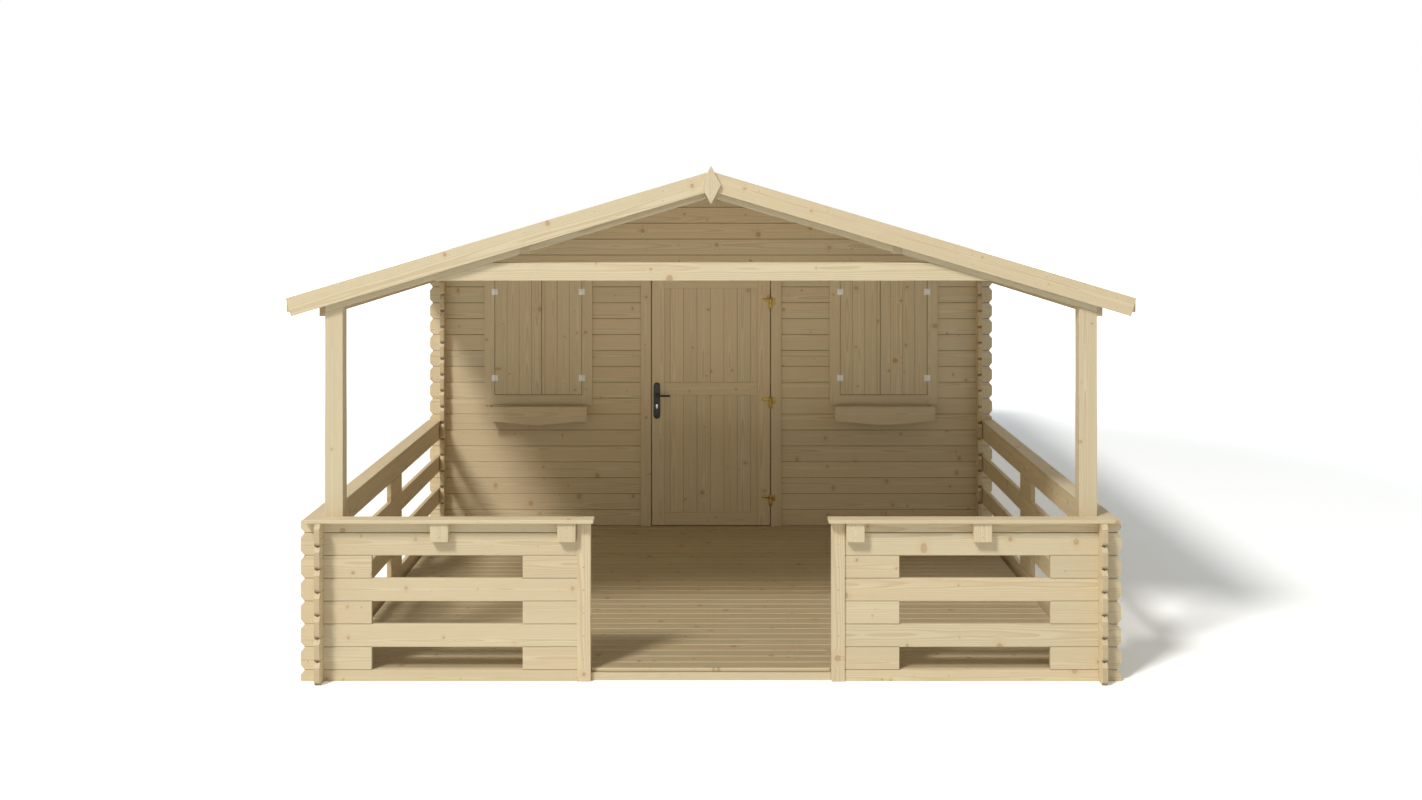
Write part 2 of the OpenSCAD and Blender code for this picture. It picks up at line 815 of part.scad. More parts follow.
// One lever: a neck square to the door, a bend, and an arm along +X with a rounded end
module lever_arm() {
    translate([0, lever_bend, 0]) rotate([-90, 0, 0]) cylinder(r = neck_r, h = lever_out - lever_bend);
    translate([0, lever_out - collar_t, 0]) rotate([-90, 0, 0]) cylinder(r = collar_r, h = collar_t);
    translate([lever_bend, lever_bend, 0]) intersection() {
        rotate_extrude() translate([lever_bend, 0]) circle(lever_r);
        translate([-2 * lever_bend, -2 * lever_bend, -lever_bend]) cube(2 * lever_bend);
    }
    translate([lever_bend, 0, 0]) rotate([0, 90, 0]) cylinder(r = lever_r, h = lever_l - lever_bend - lever_r);
    translate([lever_l - lever_r, 0, 0]) sphere(r = lever_r);
}

spindle_lap = 5;
module door_lever() {
    y0 = face_y - plate_t;
    y1 = face_y + leaf_t + plate_t;
    color(black_iron) in_place() translate([spindle_x, 0, spindle_z]) union() {
        translate([0, y0 - spindle_run - lever_out, 0]) lever_arm();
        translate([0, y1 + spindle_run + lever_out, 0]) mirror([0, 1, 0]) lever_arm();
        translate([0, y0 - spindle_lap, 0]) rotate([-90, 0, 0])
            cylinder(r = spindle_r, h = y1 - y0 + 2 * spindle_lap);
    }
}

// Right-hand window: box frame in the opening with a stop, and the casing outside
window_casing_z = window_z - 45;
leaf_board_t = 22;
module window_frame() {
    in_z = window_z + frame_t;
    top = head_z - frame_t;
    in_place() difference() {
        union() {
            translate([window_x - casing_w, face_y, window_casing_z])
                cube([window_w + 2 * casing_w, trim_t, top + casing_w - window_casing_z]);
            translate([window_x - frame_t, wall_y, window_z])
                cube([window_w + 2 * frame_t, log_t + frame_in, head_z - window_z]);
        }
        translate([window_x, face_y - 1, in_z]) cube([window_w, leaf_board_t + 1, top - in_z]);
        translate([window_x + stop_w, face_y - 1, in_z + stop_w])
            cube([window_w - 2 * stop_w, trim_t + log_t + frame_in + 2, top - in_z - 2 * stop_w]);
    }
}

module right_window_frame() {
    color(pine) window_frame();
}

module left_window_frame() {
    color(pine) to_left() window_frame();
}

// Two boarded leaves that meet off the middle, each held by two ledges inside. The boards of the
// inner leaf start at its hinges, those of the outer leaf with a narrower one at the meeting edge
inner_leaf = 288.5;
outer_first = 72;
ledge_h = 70;
ledge_t = 18;
ledge_in = 110;
ledge_side = 20;
module window_leaf(x0, x1, z0, z1, joints) {
    union() {
        board_panel(x0, x1, face_y, leaf_board_t, z0, z1, joints);
        for (z = [z0 + ledge_in, z1 - ledge_in - ledge_h])
            translate([x0 + ledge_side, face_y + leaf_board_t - board_v, z])
                cube([x1 - x0 - 2 * ledge_side, ledge_t + board_v, ledge_h]);
    }
}

module window_leaves() {
    z0 = window_z + frame_t + window_gap;
    z1 = head_z - frame_t - window_gap;
    x0 = window_x + window_gap;
    x1 = window_x + window_w - window_gap;
    meet = window_x + inner_leaf;
    inner_joints = [for (x = [x0 + window_board_w : window_board_w : meet]) x];
    outer_joints = [for (x = [meet + outer_first : window_board_w : x1]) x];
    in_place() {
        window_leaf(x0, meet - window_gap / 2, z0, z1, inner_joints);
        window_leaf(meet + window_gap / 2, x1, z0, z1, outer_joints);
    }
}

module right_window_leaves() {
    color(pine) window_leaves();
}

module left_window_leaves() {
    color(pine) to_left() window_leaves();
}

// Square white hinges over the outer gaps of the window leaves
plate = 44;
plate_in = 122;
module window_hinges() {
    color(white_plastic) in_place() for (m = [0, 1]) mirror([m, 0, 0])
        for (x = [window_x + window_gap / 2, window_x + window_w - window_gap / 2], z = [window_z + frame_t + plate_in, head_z - frame_t - plate_in])
            translate([x, face_y, z]) union() {
                translate([-plate / 2, -3, -plate / 2]) cube([plate, 3, plate]);
                translate([0, -5.5, -plate / 2]) cylinder(r = 5, h = plate);
            }
}

// Right-hand flower box: a floor and four boards, the front one deeper and with a curved lower edge
box_board = 18;
module flower_box() {
    x0 = window_x + (window_w - box_w) / 2;
    z1 = window_casing_z - 1;
    z0 = z1 - box_h;
    steps = 24;
    front = wall_y - box_d;
    in_place() union() {
        translate([0, front + box_board, 0]) rotate([90, 0, 0]) linear_extrude(box_board) polygon(concat(
            [for (i = [0 : steps]) [x0 + i * box_w / steps, z0 - box_wave * (1 - cos(i * 360 / steps)) / 2]],
            [[x0 + box_w, z1], [x0, z1]]
        ));
        for (x = [x0, x0 + box_w - box_board])
            translate([x, front, z1 - box_side_h]) cube([box_board, box_d, box_side_h]);
        translate([x0, wall_y - box_board, z1 - box_side_h]) cube([box_w, box_board, box_side_h]);
        translate([x0, front, z1 - box_side_h]) cube([box_w, box_d, box_board]);
    }
}

module right_flower_box() {
    color(pine) flower_box();
}

module left_flower_box() {
    color(pine) to_left() flower_box();
}

left_wall();
right_wall();
rear_wall();
front_wall_left();
front_wall_right();
front_gable();
front_sill_log();
shed_floor();
floor_joists();
deck_boards();
entrance_sill();
purlins();
eave_beams();
left_roof();
right_roof();
tie_beam();
front_rafters();
bargeboards();
ridge_diamonds();
eave_boards();
corner_posts();
left_rail_logs();
right_rail_logs();
left_rail_blocks();
right_rail_blocks();
left_wing_logs();
right_wing_logs();
left_wing_blocks();
right_wing_blocks();
rail_caps();
wing_end_posts();
corbel_blocks();
door_frame();
left_window_frame();
right_window_frame();
left_window_leaves();
right_window_leaves();
window_hinges();
left_flower_box();
right_flower_box();
door_hinge_plates();
door_leaf();
door_hinge_straps();
door_handle_plates();
door_lever();
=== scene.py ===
"""Looks of a log garden shed with a deep railed veranda.

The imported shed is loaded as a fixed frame. Each sub-assembly takes its timbers from that frame, eases
their edges, gives every log and board its own piece of pine, and adds the fittings and fastenings.
"""

from __future__ import annotations

import json
import logging
import math
import random
from collections.abc import Callable, Iterable, Iterator, Sequence
from contextlib import contextmanager
from dataclasses import dataclass, field, replace
from enum import Enum
from functools import partial, reduce
from itertools import product

import bmesh
import bpy
import numpy as np
from mathutils import Matrix, Vector

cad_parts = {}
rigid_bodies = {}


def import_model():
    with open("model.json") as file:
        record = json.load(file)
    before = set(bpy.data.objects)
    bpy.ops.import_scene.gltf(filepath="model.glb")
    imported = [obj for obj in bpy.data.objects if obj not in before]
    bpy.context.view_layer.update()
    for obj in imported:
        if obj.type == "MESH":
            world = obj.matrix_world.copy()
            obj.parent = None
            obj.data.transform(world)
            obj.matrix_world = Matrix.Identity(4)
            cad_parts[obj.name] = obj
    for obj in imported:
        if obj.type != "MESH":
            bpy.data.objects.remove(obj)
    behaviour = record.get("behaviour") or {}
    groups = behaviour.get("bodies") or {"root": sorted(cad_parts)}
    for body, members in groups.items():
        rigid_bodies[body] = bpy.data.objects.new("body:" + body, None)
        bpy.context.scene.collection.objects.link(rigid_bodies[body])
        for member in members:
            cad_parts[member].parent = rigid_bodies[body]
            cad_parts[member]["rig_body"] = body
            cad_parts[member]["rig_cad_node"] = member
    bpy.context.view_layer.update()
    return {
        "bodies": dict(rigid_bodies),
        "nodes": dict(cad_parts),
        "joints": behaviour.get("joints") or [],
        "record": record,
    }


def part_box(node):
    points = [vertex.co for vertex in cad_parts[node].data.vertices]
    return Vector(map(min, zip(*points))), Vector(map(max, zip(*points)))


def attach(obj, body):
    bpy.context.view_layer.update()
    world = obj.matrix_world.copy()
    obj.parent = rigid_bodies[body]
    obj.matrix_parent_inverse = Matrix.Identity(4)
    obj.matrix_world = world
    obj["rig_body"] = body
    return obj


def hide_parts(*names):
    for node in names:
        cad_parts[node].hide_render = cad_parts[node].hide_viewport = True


log = logging.getLogger("garden_shed")

ROOF_PITCH = math.radians(16.6)
MM = 0.001
X, Y, Z = range(3)
SIDES = (("left", -1), ("right", 1))
BLACK, WHITE = (0.0, 0.0, 0.0), (1.0, 1.0, 1.0)
Triple = tuple[float, float, float]
Colour = Triple
Plane = tuple[int, float]
Slot = tuple[int, float, float, float]
Piece = bpy.types.Object
Block = tuple[Vector, Vector]


# ---------------------------------------------------------------- shader sums


def operator(operation: str, flipped: bool = False) -> Callable[[Wire, Wire | float], Wire]:
    """Makes the method behind one sign.

    Args:
        operation: What a Math node calls it.
        flipped: Whether the other value stands first.

    Returns:
        A method for Wire.
    """

    def method(wire: Wire, other: Wire | float) -> Wire:
        """Works out the sum on the wire's own bench."""
        return wire.bench.maths(operation, *((other, wire) if flipped else (wire, other)))

    return method


@dataclass(frozen=True)
class Wire:
    """One output of a node, on which sums are written as plain Python."""

    bench: Bench
    socket: bpy.types.NodeSocket

    __add__, __radd__ = operator("ADD"), operator("ADD", flipped=True)
    __sub__, __rsub__ = operator("SUBTRACT"), operator("SUBTRACT", flipped=True)
    __mul__, __rmul__ = operator("MULTIPLY"), operator("MULTIPLY", flipped=True)
    __truediv__, __rtruediv__ = operator("DIVIDE"), operator("DIVIDE", flipped=True)


class Bench:
    """Adds nodes to one node tree."""

    def __init__(self, owner: bpy.types.Material | bpy.types.World) -> None:
        """Starts with an empty tree.

        Args:
            owner: The material or world that has the tree.
        """
        owner.use_nodes = True
        self.tree = owner.node_tree
        self.tree.nodes.clear()

    def node(
        self, kind: str, settings: dict | None = None, sockets: dict | None = None
    ) -> bpy.types.Node:
        """Adds a node.

        Args:
            kind: The node's type name.
            settings: Properties of the node, which are set first.
            sockets: Values, wires or sockets for its inputs, by name or number.

        Returns:
            The new node.
        """
        made = self.tree.nodes.new(kind)
        for key, value in (settings or {}).items():
            setattr(made, key, value)
        for key, value in (sockets or {}).items():
            self.plug(made.inputs[key], value)
        return made

    def plug(self, socket: bpy.types.NodeSocket, value: object) -> None:
        """Links a wire or socket to an input, or sets the input's own value.

        Args:
            socket: The input.
            value: A wire, a socket or a plain value.
        """
        source = value.socket if isinstance(value, Wire) else value
        if isinstance(source, bpy.types.NodeSocket):
            self.tree.links.new(source, socket)
        else:
            socket.default_value = source

    def value(
        self, kind: str, settings: dict | None = None, sockets: dict | None = None, output: int | str = 0
    ) -> Wire:
        """Adds a node, as node does, and gives one of its outputs."""
        return Wire(self, self.node(kind, settings, sockets).outputs[output])

    def maths(self, operation: str, *values: Wire | float) -> Wire:
        """Works out a sum of one to three numbers."""
        return self.value("ShaderNodeMath", {"operation": operation}, dict(enumerate(values)))

    def vector(self, operation: str, *values: Wire | Sequence[float]) -> Wire:
        """Works out a sum of vectors."""
        return self.value("ShaderNodeVectorMath", {"operation": operation}, dict(enumerate(values)))

    def ramp(self, value: Wire, low: float | Wire, high: float | Wire) -> Wire:
        """Rises smoothly from 0 at low to 1 at high."""
        settings = {"interpolation_type": "SMOOTHSTEP"}
        return self.value("ShaderNodeMapRange", settings, {0: value, 1: low, 2: high, 3: 0.0, 4: 1.0})

    def blend(self, factor: Wire | float, first: Wire | Colour, second: Wire | Colour) -> Wire:
        """Mixes two colours."""
        return self.tint("MIX", factor, first, second)

    def tint(self, way: str, factor: Wire | float, first: Wire | Colour, second: Wire | Colour) -> Wire:
        """Mixes two colours in a named way.

        Args:
            way: Blend type, such as MIX or MULTIPLY.
            factor: How much of the second colour is used.
            first: First colour.
            second: Second colour.

        Returns:
            The mixed colour.
        """
        settings = {"data_type": "RGBA", "blend_type": way, "clamp_factor": True}
        colours = [c if isinstance(c, Wire) else (*c, 1.0) for c in (first, second)]
        return self.value("ShaderNodeMix", settings, {0: factor, 6: colours[0], 7: colours[1]}, 2)

    def attribute(self, name: str) -> Wire:
        """Reads a vector attribute of the mesh."""
        settings = {"attribute_type": "GEOMETRY", "attribute_name": name}
        return self.value("ShaderNodeAttribute", settings, output="Vector")

    def place(self) -> Wire:
        """Reads the place on the object."""
        return self.value("ShaderNodeTexCoord", output="Object")

    def parts(self, vector: Wire) -> tuple[Wire, ...]:
        """Splits a vector into its three numbers."""
        made = self.node("ShaderNodeSeparateXYZ", sockets={0: vector})
        return tuple(Wire(self, output) for output in made.outputs)

    def join(self, x: Wire | float, y: Wire | float, z: Wire | float) -> Wire:
        """Makes a vector of three numbers."""
        return self.value("ShaderNodeCombineXYZ", sockets={0: x, 1: y, 2: z})

    def noise(self, where: Wire, scale: float, detail: float, output: int = 0) -> Wire:
        """Reads smooth noise, which lies around one half.

        Args:
            where: Place in the noise.
            scale: Lumps to the metre.
            detail: How many finer layers are added.
            output: 0 for a number, 1 for a colour.

        Returns:
            The noise.
        """
        sockets = {"Vector": where, "Scale": scale, "Detail": detail}
        return self.value("ShaderNodeTexNoise", sockets=sockets, output=output)

    def chance(self, where: Wire) -> tuple[Wire, ...]:
        """Gives three unrelated numbers for a place, each from 0 to 1."""
        return self.parts(self.value("ShaderNodeTexWhiteNoise", sockets={"Vector": where}, output="Color"))

    def seen(self) -> Wire:
        """Is 1 for a ray from the camera, also by way of a gloss or through glass, and 0 for light.

        Returns:
            The number.
        """
        rays = self.node("ShaderNodeLightPath").outputs
        kinds = (Wire(self, rays[f"Is {kind} Ray"]) for kind in ("Camera", "Glossy", "Transmission"))
        return reduce(partial(self.maths, "MAXIMUM"), kinds)


class FinishBench(Bench):
    """Builds one material round a Principled shader."""

    def __init__(self, name: str) -> None:
        """Starts a material.

        Args:
            name: The material's name.
        """
        self.material = bpy.data.materials.new(name)
        super().__init__(self.material)
        self.shader = self.node("ShaderNodeBsdfPrincipled")
        self.node("ShaderNodeOutputMaterial", sockets={"Surface": self.shader.outputs[0]})

    def relief(self, height: Wire, depth: float) -> None:
        """Raises the surface by a height from 0 to 1.

        Args:
            height: The height.
            depth: What a height of 1 measures, in metres.
        """
        bump = self.node("ShaderNodeBump", sockets={"Strength": 1.0, "Distance": depth, "Height": height})
        self.plug(self.shader.inputs["Normal"], bump.outputs[0])

    def set(self, **values: object) -> None:
        """Sets inputs of the shader; an underscore in a name stands for a space."""
        for key, value in values.items():
            self.plug(self.shader.inputs[key.replace("_", " ")], value)


# -------------------------------------------------------------------- finishes


@dataclass(frozen=True)
class KnotGrowth:
    """How often one kind of branch grew in the tree, and how thick it was."""

    spacing: float
    radius: float
    share: float
    seed: float


@dataclass(frozen=True)
class PineFinish:
    """Planed, untreated pine, cut from rings round a pith that each mesh names in an attribute."""

    name: str
    early: Colour = (0.728, 0.618, 0.412)
    late: Colour = (0.575, 0.432, 0.247)
    heart: Colour = (0.662, 0.525, 0.340)
    knot: Colour = (0.440, 0.275, 0.150)
    knot_rim: Colour = (0.330, 0.190, 0.100)
    # Colour of the joint lines and of the painted shade in V joints and narrow gaps.
    seam: Colour = (0.22, 0.145, 0.08)
    seam_strength: float = 0.95
    seam_spread: float = 0.25
    ring_width: float = 0.0042
    grain_strength: float = 0.60
    streak_strength: float = 0.55
    strand_strength: float = 0.55
    swirl_strength: float = 0.55
    knot_strength: float = 0.66
    rim_strength: float = 0.50
    tone_spread: float = 0.09
    end_shade: float = 0.30
    end_tint: Colour = (0.52, 0.40, 0.28)
    swirl_tint: Colour = (0.95, 0.84, 0.74)
    worn_face: Colour | None = None
    roughness: float = 0.62
    specular: float = 0.32
    relief_depth: float = 0.35 * MM
    grain_wander: float = 0.022
    ring_drift: float = 0.55
    ring_swirl: float = 3.4
    branch_fan: float = 2.0
    branches: tuple[KnotGrowth, ...] = (
        KnotGrowth(0.42, 0.0098, 0.55, 3.0),
        KnotGrowth(0.30, 0.0044, 0.34, 17.0),
    )

    def material(self) -> bpy.types.Material:
        """Builds the material.

        Returns:
            The material.
        """
        b = FinishBench(self.name)
        fibre = b.attribute("fibre")
        tone, end, joint = b.parts(b.attribute("mark"))
        wander = b.noise(b.vector("MULTIPLY", fibre, (1.1, 5.0, 5.0)), 1.0, 2.0, 1)
        sideways = (0.0, self.grain_wander, self.grain_wander)
        wander = b.vector("MULTIPLY", b.vector("SUBTRACT", wander, (0.5,) * 3), sideways)
        along, across, depth = b.parts(b.vector("ADD", fibre, wander))
        cores, rims, swirls = self.knots(b, along, across, depth, tone)
        radius = b.maths("SQRT", across * across + depth * depth)
        years = radius / self.ring_width + along * self.ring_drift + swirls * self.ring_swirl
        phase = b.maths("FRACT", years)
        late = b.ramp(phase, 0.28, 0.90) * (1.0 - b.ramp(phase, 0.93, 1.0))
        streak = b.noise(b.vector("MULTIPLY", fibre, (0.9, 26.0, 26.0)), 1.0, 2.0)
        strand = b.noise(b.vector("MULTIPLY", fibre, (9.0, 420.0, 420.0)), 1.0, 2.0)
        colour = b.blend(late * self.grain_strength, self.early, self.late)
        colour = b.blend(b.ramp(streak, 0.42, 0.78) * self.streak_strength, colour, self.heart)
        grey = 0.86 + strand * 0.28
        colour = b.tint("MULTIPLY", self.strand_strength, colour, b.join(grey, grey, grey))
        colour = b.tint("MULTIPLY", 1.0, colour, self.board_tone(b, tone))
        colour = b.tint("MULTIPLY", end * self.end_shade, colour, self.end_tint)
        colour = b.tint("MULTIPLY", swirls * self.swirl_strength, colour, self.swirl_tint)
        colour = b.blend(cores * self.knot_strength, colour, self.knot)
        colour = b.blend(rims * self.rim_strength, colour, self.knot_rim)
        # The joint mark darkens joint lines and also carries painted shade: on the shaded faces of level V
        # joints and on faces in narrow gaps.
        tight = b.chance(b.join(tone * 97.1, 21.0, 5.0))[0] * self.seam_spread
        seam = b.ramp(joint, 0.0, 0.65) * (self.seam_strength - tight)
        colour = b.tint("MULTIPLY", seam, colour, self.seam)
        if self.worn_face:
            normal = b.value("ShaderNodeNewGeometry", output="Normal")
            top = b.ramp(b.parts(normal)[Z], 0.85, 0.97)
            colour = b.tint("MULTIPLY", top, colour, self.worn_face)
        b.set(Base_Color=colour, Roughness=self.roughness - late * 0.08 + strand * 0.10)
        b.set(Specular_IOR_Level=self.specular)
        b.relief(late * 0.45 + strand * 0.55 + cores * 0.6, self.relief_depth)
        return b.material

    def board_tone(self, b: FinishBench, tone: Wire) -> Wire:
        """Gives each board its own shade: paler or darker, yellower or pinker.

        Args:
            b: The bench of this material.
            tone: The board's own number.

        Returns:
            A colour that the wood is multiplied by.
        """
        bright, warm, _ = b.chance(b.join(tone * 311.7, 4.0, 9.0))
        level = 1.0 + (bright - 0.55) * self.tone_spread
        warm = (warm - 0.5) * 0.055
        return b.join(level + warm * 0.35, level - warm * 0.30, level - warm * 0.85)

    def knots(
        self, b: FinishBench, along: Wire, across: Wire, depth: Wire, tone: Wire
    ) -> tuple[Wire, Wire, Wire]:
        """Grows branches out of the pith.

        Args:
            b: The bench of this material.
            along: Distance along the fibres.
            across: First distance from the pith.
            depth: Second distance from the pith.
            tone: The board's own number.

        Returns:
            The wood inside the knots, their rims, and how far the rings bend round them.
        """
        cores, rims, swirls = 0.0, 0.0, 0.0
        for kind in self.branches:
            cell = b.maths("FLOOR", along / kind.spacing)
            shift, turn, size = b.chance(b.join(cell, tone * 173.3, kind.seed))
            there = b.maths("LESS_THAN", b.maths("FRACT", size * 7.31 + shift), kind.share)
            a = along - (cell + 0.3 + shift * 0.4) * kind.spacing
            turn = (turn - 0.5) * self.branch_fan
            sine, cosine = b.maths("SINE", turn), b.maths("COSINE", turn)
            t = across * cosine - depth * sine
            out = b.maths("ABSOLUTE", across * sine + depth * cosine)
            grown = kind.radius * (0.55 + b.ramp(out, 0.0, 0.09) * 0.6) * (0.6 + size * 0.75)
            d = b.maths("SQRT", a * a + t * t) / grown
            cores = (1.0 - b.ramp(d, 0.72, 1.02)) * there + cores
            rims = b.ramp(d, 0.70, 0.98) * (1.0 - b.ramp(d, 1.02, 1.40)) * there + rims
            swirls = (1.0 - b.ramp(d, 0.4, 4.2)) * there + swirls
        return cores, rims, swirls


@dataclass(frozen=True)
class MetalFinish:
    """Cast or rolled metal with a fine uneven surface."""

    name: str
    colour: Colour
    dark: Colour
    metallic: float
    roughness: float
    unevenness: float = 0.16
    clouds: float = 45.0
    lumps: float = 900.0
    relief_depth: float = 0.08 * MM

    def material(self) -> bpy.types.Material:
        """Builds the material.

        Returns:
            The material.
        """
        b = FinishBench(self.name)
        cloud = b.noise(b.place(), self.clouds, 3.0)
        grain = b.noise(b.place(), self.lumps, 2.0)
        b.set(Base_Color=b.blend(b.ramp(cloud, 0.35, 0.75), self.colour, self.dark))
        b.set(Roughness=self.roughness + (grain - 0.5) * self.unevenness, Metallic=self.metallic)
        b.relief(grain, self.relief_depth)
        return b.material


@dataclass(frozen=True)
class PlasticFinish:
    """Moulded plastic with a faint grain and a little dust."""

    name: str
    colour: Colour
    dust: Colour
    roughness: float
    unevenness: float = 0.10
    dustiness: float = 0.50
    clouds: float = 60.0
    lumps: float = 1500.0
    relief_depth: float = 0.04 * MM

    def material(self) -> bpy.types.Material:
        """Builds the material.

        Returns:
            The material.
        """
        b = FinishBench(self.name)
        cloud = b.noise(b.place(), self.clouds, 4.0)
        grain = b.noise(b.place(), self.lumps, 1.0)
        b.set(Base_Color=b.blend(b.ramp(cloud, 0.45, 0.85) * self.dustiness, self.colour, self.dust))
        b.set(Roughness=self.roughness + (cloud - 0.5) * self.unevenness)
        b.relief(grain, self.relief_depth)
        return b.material


class Finishes:
    """Every finish of the shed, each built once."""

    log_wood = PineFinish("pine_logs")
    planed_wood = PineFinish("pine_planed", tone_spread=0.07, ring_width=0.0048)
    joinery_wood = PineFinish(
        "pine_joinery", tone_spread=0.07, ring_width=0.0040, seam_strength=0.85, seam_spread=0.60
    )
    deck_wood = PineFinish("pine_deck", tone_spread=0.10, ring_width=0.0046, worn_face=(0.63, 0.61, 0.57))
    roof_boards = PineFinish("pine_roof", tone_spread=0.12, ring_width=0.0044)
    brass = MetalFinish("brass", (0.42, 0.275, 0.055), (0.31, 0.19, 0.04), 0.85, 0.45)
    black_metal = MetalFinish("black_iron", (0.022, 0.020, 0.017), (0.034, 0.031, 0.027), 0.0, 0.46)
    nickel = MetalFinish("nickel", (0.66, 0.64, 0.60), (0.52, 0.50, 0.46), 0.9, 0.34)
    zinc = MetalFinish("zinc_screws", (0.52, 0.47, 0.36), (0.40, 0.35, 0.26), 0.8, 0.42)
    white_plastic = PlasticFinish("white_plastic", (0.95, 0.95, 0.94), (0.88, 0.87, 0.84), 0.35)

    def __init__(self) -> None:
        """Starts with nothing built."""
        self.built: dict[str, bpy.types.Material] = {}

    def get(self, name: str) -> bpy.types.Material:
        """Gives a finish's material, building it the first time.

        Args:
            name: The finish's name in this class.

        Returns:
            The material.
        """
        if name not in self.built:
            self.built[name] = getattr(self, name).material()
        return self.built[name]

    def coat(self, piece: Piece, name: str) -> None:
        """Gives a piece a finish in place of any that it has."""
        piece.data.materials.clear()
        piece.data.materials.append(self.get(name))


# ---------------------------------------------------------------- work in mesh


def take(piece: Piece) -> None:
    """Deselects everything, then makes a piece the only selected and active one.

    Args:
        piece: The piece.
    """
    for other in bpy.context.selected_objects:
        other.select_set(False)
    piece.select_set(True)
    bpy.context.view_layer.objects.active = piece


@contextmanager
def editing(piece: Piece, pick: str = "FACE") -> Iterator[None]:
    """Keeps a piece in edit mode.

    Args:
        piece: The piece.
        pick: What is selected in it: VERT, EDGE or FACE.

    Yields:
        Nothing.
    """
    take(piece)
    bpy.ops.object.mode_set(mode="EDIT")
    bpy.ops.mesh.select_mode(type=pick)
    try:
        yield
    finally:
        bpy.ops.object.mode_set(mode="OBJECT")


def select_faces(piece: Piece, test: Callable[[bmesh.types.BMFace], bool]) -> None:
    """Selects, in edit mode, just the faces that pass a test.

    Args:
        piece: The piece.
        test: Tells whether a face is selected.
    """
    bpy.ops.mesh.select_all(action="DESELECT")
    mesh = bmesh.from_edit_mesh(piece.data)
    for face in filter(test, mesh.faces):
        face.select = True
    mesh.select_flush(True)
    bmesh.update_edit_mesh(piece.data)


def settle(piece: Piece) -> Piece:
    """Puts a piece's place into its mesh, so that its object sits at the origin.

    Args:
        piece: The piece.

    Returns:
        The same piece.
    """
    piece.data.transform(piece.matrix_world)
    piece.matrix_world = Matrix.Identity(4)
    return piece


def join(pieces: Sequence[Piece], name: str) -> Piece:
    """Joins pieces into the first one, and names it.

    Args:
        pieces: The pieces.
        name: Name for the joined piece.

    Returns:
        The joined piece.
    """
    take(pieces[0])
    for piece in pieces:
        piece.select_set(True)
    bpy.ops.object.join()
    pieces[0].name = name
    return pieces[0]


def apply_modifiers(piece: Piece) -> None:
    """Applies every modifier of a piece.

    Args:
        piece: The piece.
    """
    take(piece)
    for modifier in list(piece.modifiers):
        bpy.ops.object.modifier_apply(modifier=modifier.name)


def face_islands(mesh: bpy.types.Mesh) -> list[int]:
    """Numbers the separate shells of a mesh.

    Args:
        mesh: The mesh.

    Returns:
        For each face, the lowest vertex number of its shell.
    """
    parent = list(range(len(mesh.vertices)))

    def root(v: int) -> int:
        """Finds the vertex that stands for a shell.

        Args:
            v: A vertex of the shell.

        Returns:
            The vertex that stands for it.
        """
        while parent[v] != v:
            parent[v] = parent[parent[v]]
            v = parent[v]
        return v

    for edge in mesh.edges:
        a, b = root(edge.vertices[0]), root(edge.vertices[1])
        parent[max(a, b)] = min(a, b)
    return [root(face.vertices[0]) for face in mesh.polygons]


# ------------------------------------------------------------ timber and grain

# How far a seam or a V joint darkens the wood, and how dark, from 0 to 1. A V's faces are known by
# the share of their normal along the joint axis. Where the joint lies level, its lit face and its
# shaded face each have a darkness at the bottom and one at the lip. The darkness at the bottom is a
# dark joint line; the shaded lower face's greater darkness is painted shade.
SEAM_W, SEAM_EDGE, SEAM_DEPTH = 2.5 * MM, 0.2 * MM, 0.8
JOINT_REACH, JOINT_BOTTOM = 4 * MM, 0.4 * MM
JOINT_SLOPE = (0.4, 0.9)
LIT_FACE, SHADED_FACE = (0.32, 0.0), (1.0, 0.62)
# Painted shade on the faces in the narrow gaps round the window leaves.
GAP_SHADE = 0.8

# Where a board was cut from the trunk, measured from the pith.
TRUNK_HALF = 40
PITH_SIDE = 0.030
PITH_NEAR, PITH_FAR = 0.020, 0.075
END_FACE = 0.8
LOOK_INSIDE = 2 * MM

MERGE = 0.02 * MM


class Grain(Enum):
    """Direction in which the fibres of a timber run."""

    ACROSS = (1.0, 0.0, 0.0)
    BACK = (0.0, 1.0, 0.0)
    UPRIGHT = (0.0, 0.0, 1.0)
    RIGHT_SLOPE = (math.cos(ROOF_PITCH), 0.0, -math.sin(ROOF_PITCH))
    LEFT_SLOPE = (-math.cos(ROOF_PITCH), 0.0, -math.sin(ROOF_PITCH))

    @property
    def axes(self) -> np.ndarray:
        """Three unit vectors: along the fibres and two across them.

        Returns:
            The vectors, one to a row.
        """
        along = Vector(self.value)
        side = Vector((1, 0, 0)) if self is Grain.BACK else Vector((0, 1, 0))
        return np.array([along, side, along.cross(side)])


